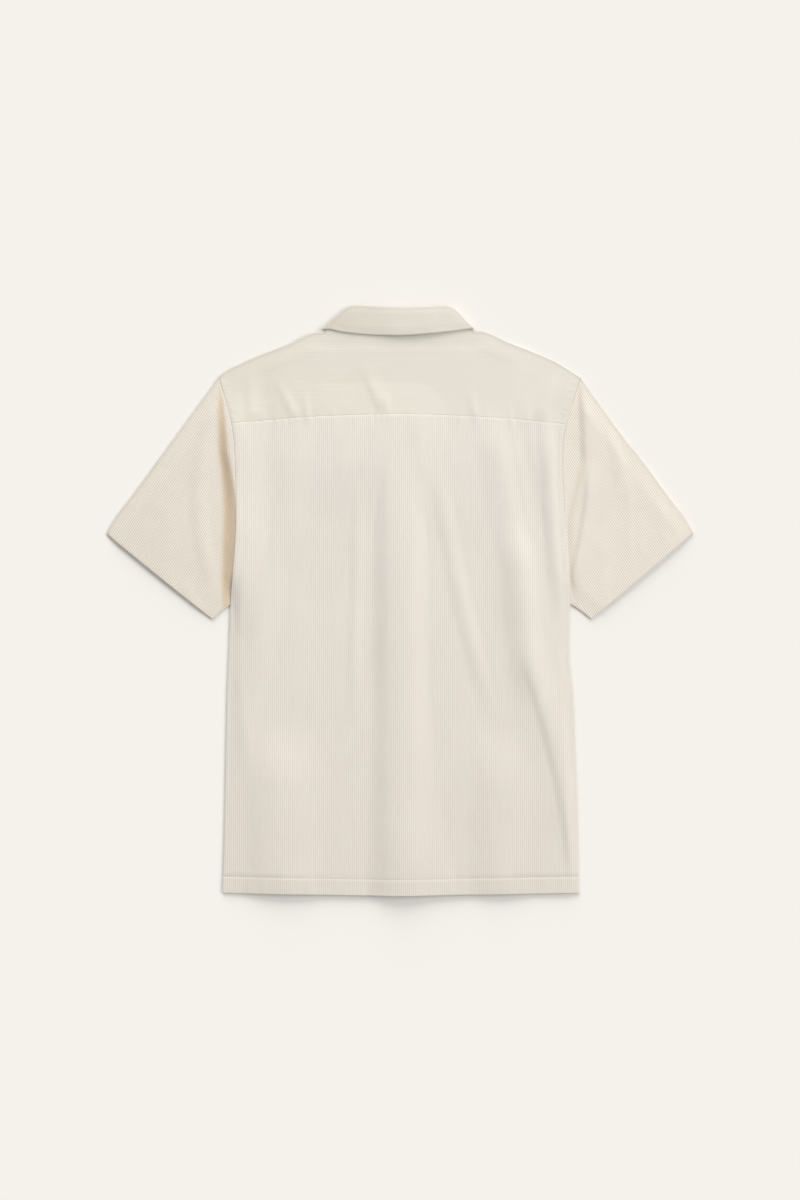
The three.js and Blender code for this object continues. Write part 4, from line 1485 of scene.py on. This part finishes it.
@dataclass
class ButtonSet:
    """The placket's buttons with their holes and thread, and their buttonholes."""

    shape: LaidShape
    resin: bpy.types.Material
    thread: bpy.types.Material
    radius: float = BUTTON_DIAMETER / 2
    hole_offset: float = 1.25
    hole_radius: float = 0.62
    hole_depth: float = 1.1
    dish_depth: float = 0.75
    rim_drop: float = 0.45
    back_drop: float = 0.5
    strand_radius: float = 0.17
    stitch_radius: float = 0.2

    def holes(self) -> Array:
        """Centres of the four holes."""
        signs = np.array([(-1, -1), (1, -1), (1, 1), (-1, 1)], dtype=float)
        return signs * self.hole_offset

    def build_button(self, number: int, y: float) -> bpy.types.Object:
        """Builds one button, its dished and pierced face down.

        Args:
            number: Number of the button, from the top.
            y: Its place along the placket.

        Returns:
            The button.
        """
        sides = 72
        radii = np.concatenate([np.linspace(0.0, 3.0, 17)[1:], [3.5, 3.9, 4.2, 4.6, 5.0, 5.3, 5.46]])
        angle = np.linspace(0.0, 2.0 * np.pi, sides, endpoint=False)
        x = np.concatenate([[0.0], (radii[:, None] * np.cos(angle)).ravel()])
        local_y = np.concatenate([[0.0], (radii[:, None] * np.sin(angle)).ravel()])
        from_axis = np.hypot(x, local_y)
        dish = self.dish_depth * ease(from_axis, 4.2, 3.3)
        rim = self.rim_drop * ease(from_axis, 4.9, self.radius)
        pierced = np.zeros_like(x)
        for centre_x, centre_y in self.holes():
            near = np.hypot(x - centre_x, local_y - centre_y)
            hole = ease(near, self.hole_radius + 0.16, self.hole_radius - 0.12)
            pierced = np.maximum(pierced, self.hole_depth * hole)
        face_z = dish + rim + pierced
        back_z = BUTTON_THICKNESS - self.back_drop * ease(from_axis, 4.7, self.radius)
        count = len(x)
        sides_z = (face_z, back_z)
        points = np.concatenate([np.stack([x, local_y, z], axis=1) for z in sides_z])
        faces: list[list[int]] = []
        for k in range(sides):
            after = (k + 1) % sides
            faces += [[0, 1 + after, 1 + k], [count, count + 1 + k, count + 1 + after]]
            for ring in range(len(radii) - 1):
                a, b = 1 + ring * sides + k, 1 + ring * sides + after
                faces.append([a, b, b + sides, a + sides])
                faces.append([count + a, count + a + sides, count + b + sides, count + b])
            a, b = 1 + (len(radii) - 1) * sides + k, 1 + (len(radii) - 1) * sides + after
            faces.append([a, b, count + b, count + a])
        points = points + np.array([0.0, y, 0.0])
        if signed_volume(points, faces) < 0:
            faces = [face[::-1] for face in faces]
        piece = make_object(f"shirt_button_{number}", points * MM, faces)
        fasten(piece, self.resin)
        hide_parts(f"button_{number}")
        return piece

    def thread_path(self, y: float) -> list[Array]:
        """Strands of thread across the holes of one button.

        Args:
            y: The button's place along the placket.

        Returns:
            The strands, as short bowed lines.
        """
        strands = []
        for row in (-1, 1):
            for step in (-0.18, 0.0, 0.18):
                t = np.linspace(-1.0, 1.0, 9)
                line_x = t * (self.hole_offset + 0.15)
                line_y = np.full_like(t, row * self.hole_offset + step + y)
                line_z = 0.5 + 0.5 * np.abs(t) ** 6
                strands.append(np.stack([line_x, line_y, line_z], axis=1))
        return strands

    def buttonhole_path(self, y: float) -> list[Array]:
        """Close stitches round a buttonhole's slit, on the placket's outer face.

        Args:
            y: The buttonhole's place along the placket.

        Returns:
            The line of each stitch.
        """
        strands = []
        half_length, half_width = 7.0, 1.1
        level = float(self.shape.front_underside(np.array(0.0), np.array(y), False)) - 0.12
        for step in np.arange(-half_length, half_length + 0.01, 0.42):
            for sign in (-1.0, 1.0):
                reach = np.linspace(0.12, half_width, 4) * sign
                strands.append(np.stack([reach, np.full(4, y + step), np.full(4, level)], axis=1))
        return strands

    def build(self) -> None:
        """Builds every button with its thread and buttonhole."""
        strands: list[Array] = []
        holes: list[Array] = []
        for n in range(BUTTON_COUNT):
            y = BUTTON_TOP_Y - n * BUTTON_SPACING
            self.build_button(n + 1, y)
            strands += self.thread_path(y)
            holes += self.buttonhole_path(y)
        fasten(strand_object("button_thread", strands, self.strand_radius), self.thread)
        fasten(strand_object("buttonhole_stitches", holes, self.stitch_radius), self.thread)


def strand_object(name: str, lines: Sequence[Array], radius: float, sides: int = 6) -> bpy.types.Object:
    """Joins round strands with pointed ends, one along each line of points, in one mesh.

    Args:
        name: Name of the object.
        lines: Lines of points, in millimetres.
        radius: Radius of the strands, in millimetres.
        sides: Sides of each strand.

    Returns:
        The object.
    """
    points: list[Array] = []
    faces: list[list[int]] = []
    base = 0
    angle = np.linspace(0.0, 2.0 * np.pi, sides, endpoint=False)
    for line in lines:
        ahead = np.gradient(line, axis=0)
        ahead /= np.linalg.norm(ahead, axis=1, keepdims=True)
        level = np.cross(ahead, [0.0, 0.0, 1.0])
        level /= np.linalg.norm(level, axis=1, keepdims=True)
        upright = np.cross(level, ahead)
        thin = np.ones(len(line))
        thin[[0, -1]] = 0.55
        ring = level[:, None, :] * np.cos(angle)[:, None] + upright[:, None, :] * np.sin(angle)[:, None]
        tube = line[:, None, :] + ring * (radius * thin)[:, None, None]
        tip = ahead * radius * 0.7
        points += [tube.reshape(-1, 3), line[:1] - tip[:1], line[-1:] + tip[-1:]]
        rings = len(line)
        first_tip, last_tip = base + rings * sides, base + rings * sides + 1
        for k in range(sides):
            after = (k + 1) % sides
            for r in range(rings - 1):
                a, b = base + r * sides + k, base + r * sides + after
                faces.append([a, a + sides, b + sides, b])
            faces.append([first_tip, base + k, base + after])
            faces.append([last_tip, base + (rings - 1) * sides + after, base + (rings - 1) * sides + k])
        base += rings * sides + 2
    return make_object(name, np.concatenate(points) * MM, [face[::-1] for face in faces])


@dataclass
class Stitching:
    """Visible rows of stitches: the one on the hem and those beside the armholes."""

    shape: LaidShape
    thread: bpy.types.Material
    stitch: float = 2.5
    space: float = 0.9
    radius: float = 0.2

    def along(self, path: Array) -> list[Array]:
        """Cuts a path into stitches.

        Args:
            path: Dense points of the path, in millimetres.

        Returns:
            The line of each stitch, dipping at both ends.
        """
        travel = np.concatenate([[0.0], np.cumsum(np.linalg.norm(np.diff(path, axis=0), axis=1))])
        strands = []
        for start in np.arange(0.6, travel[-1] - self.stitch, self.stitch + self.space):
            at = start + np.linspace(0.0, 1.0, 5) * self.stitch
            line = np.stack([np.interp(at, travel, path[:, n]) for n in range(3)], axis=1)
            line[[0, -1], 2] -= self.radius * 1.1
            strands.append(line)
        return strands

    def hem_row(self) -> list[Array]:
        """The hem's row on the back panel.

        Returns:
            The line of each stitch.
        """
        x = np.linspace(-222.0, 222.0, 900)
        y = HEM(x) + HEM_DEPTH
        z = self.shape.back_underside(x, y) + WALL + self.shape.hem_relief(np.full_like(x, HEM_DEPTH))
        return self.along(np.stack([x, y, z + 0.2], axis=1))

    def armhole_rows(self) -> list[Array]:
        """The topstitched rows on the welts of both armholes.

        Returns:
            The line of each stitch.
        """
        strands = []
        y = np.linspace(24.0, 276.0, 700)
        for side in Side:
            x = self.shape.edge(y, side) - side.value * (WELT_WIDTH - WELT_STITCH_INSET)
            z = self.shape.back_underside(x, y) + WALL + self.shape.welt(x, y)
            strands += self.along(np.stack([x, y, z + 0.18], axis=1))
        return strands

    def build(self) -> None:
        """Builds the rows as one piece."""
        piece = strand_object("seam_stitches", self.hem_row() + self.armhole_rows(), self.radius)
        fasten(piece, self.thread)


@dataclass
class Studio:
    """Pale floor, soft light from the upper right and a camera straight above."""

    picture_height: int = 1200
    mm_per_pixel: float = 1.28
    camera_height: float = 4.2
    sensor: float = 36.0
    floor_half: float = 6.0
    floor_drop: float = 0.0002
    surrounding: float = 0.48
    light_colour: tuple[float, float, float] = (1.0, 0.99, 0.97)

    def build_floor(self) -> None:
        """Lays the floor under the shirt."""
        mesh = bpy.data.meshes.new("floor")
        half = self.floor_half
        corners = [(-half, -half, 0.0), (half, -half, 0.0), (half, half, 0.0), (-half, half, 0.0)]
        mesh.from_pydata(corners, [], [(0, 1, 2, 3)])
        floor = bpy.data.objects.new("floor", mesh)
        floor.location.z = -self.floor_drop
        floor.data.materials.append(FloorFinish().material())
        bpy.context.scene.collection.objects.link(floor)

    def add_light(self, name: str, turn: float, rise: float, strength: float, blur: float) -> None:
        """Adds one far, soft light.

        Args:
            name: Name of the light.
            turn: Direction that it comes from, in degrees from +X towards +Y.
            rise: Its height above the floor, in degrees.
            strength: Its strength.
            blur: Width of the light as seen from the shirt, in degrees.
        """
        lamp = bpy.data.lights.new(name, "SUN")
        lamp.energy = strength
        lamp.angle = math.radians(blur)
        lamp.color = self.light_colour
        holder = bpy.data.objects.new(name, lamp)
        holder.location = (0.0, 0.0, 3.0)
        holder.rotation_euler = (0.0, math.radians(90.0 - rise), math.radians(turn))
        bpy.context.scene.collection.objects.link(holder)

    def build_light(self) -> None:
        """Sets the soft surrounding light and the two lamps."""
        world = bpy.data.worlds.new("studio")
        world.use_nodes = True
        background = world.node_tree.nodes["Background"]
        background.inputs["Color"].default_value = (*self.light_colour, 1.0)
        background.inputs["Strength"].default_value = self.surrounding
        bpy.context.scene.world = world
        self.add_light("key", 10.0, 38.0, 1.5, 34.0)
        self.add_light("top_light", 96.0, 24.0, 2.38, 44.0)

    def build_camera(self) -> None:
        """Sets the camera so that the picture has the photograph's scale."""
        lens = bpy.data.cameras.new("camera")
        lens.sensor_fit = "VERTICAL"
        lens.sensor_height = self.sensor
        view_height = self.picture_height * self.mm_per_pixel * MM
        lens.lens = self.sensor * self.camera_height / view_height
        lens.clip_end = 60.0
        camera = bpy.data.objects.new("camera", lens)
        camera.location = (0.0, 0.0, self.camera_height)
        bpy.context.scene.collection.objects.link(camera)
        bpy.context.scene.camera = camera

    def build(self) -> None:
        """Builds the floor, the light and the camera."""
        self.build_camera()
        self.build_floor()
        self.build_light()
        bpy.context.scene.view_settings.view_transform = "Standard"
        LOG.info("studio: ready")


def main() -> None:
    """Builds the studio and every piece of the shirt."""
    logging.basicConfig(level=logging.INFO, format="%(name)s: %(message)s", stream=sys.stdout)
    Studio().build()
    shape = LaidShape()
    jersey = JerseyFinish("ribbed_jersey").material()
    # Copies of the jersey for the sleeves, yoke and collar: their colours and falloff differ from the body's
    # as painted light and shade, set for how each piece lies in the light
    sleeve_tones = ((0.812, 0.767, 0.7), (0.675, 0.62, 0.535))
    sleeve_jersey = JerseyFinish(
        "sleeve_jersey", *sleeve_tones, groove=0.5, streak=0.25, grain=0.1, fade=0.9
    ).material()
    yoke_jersey = JerseyFinish(
        "yoke_jersey", (0.728, 0.695, 0.623), (0.618, 0.574, 0.48), groove=0.02, fade=0.9
    ).material()
    collar_jersey = JerseyFinish(
        "collar_jersey", (0.71, 0.675, 0.605), (0.585, 0.542, 0.466), groove=0.02, fade=6.0
    ).material()
    thread = ThreadFinish().material()
    for side in Side:
        FrontPanel(shape, jersey, side=side).build()
    BackPanel(shape, jersey).build()
    YokePanel(shape, yoke_jersey).build()
    for side in Side:
        Sleeve(shape, sleeve_jersey, side=side).build()
    collar = Collar(shape, collar_jersey)
    collar.build_band()
    for side in Side:
        collar.build_leaf(side)
    ButtonSet(shape, ButtonFinish().material(), thread).build()
    Stitching(shape, thread).build()


if __name__ == "__main__":
    main()
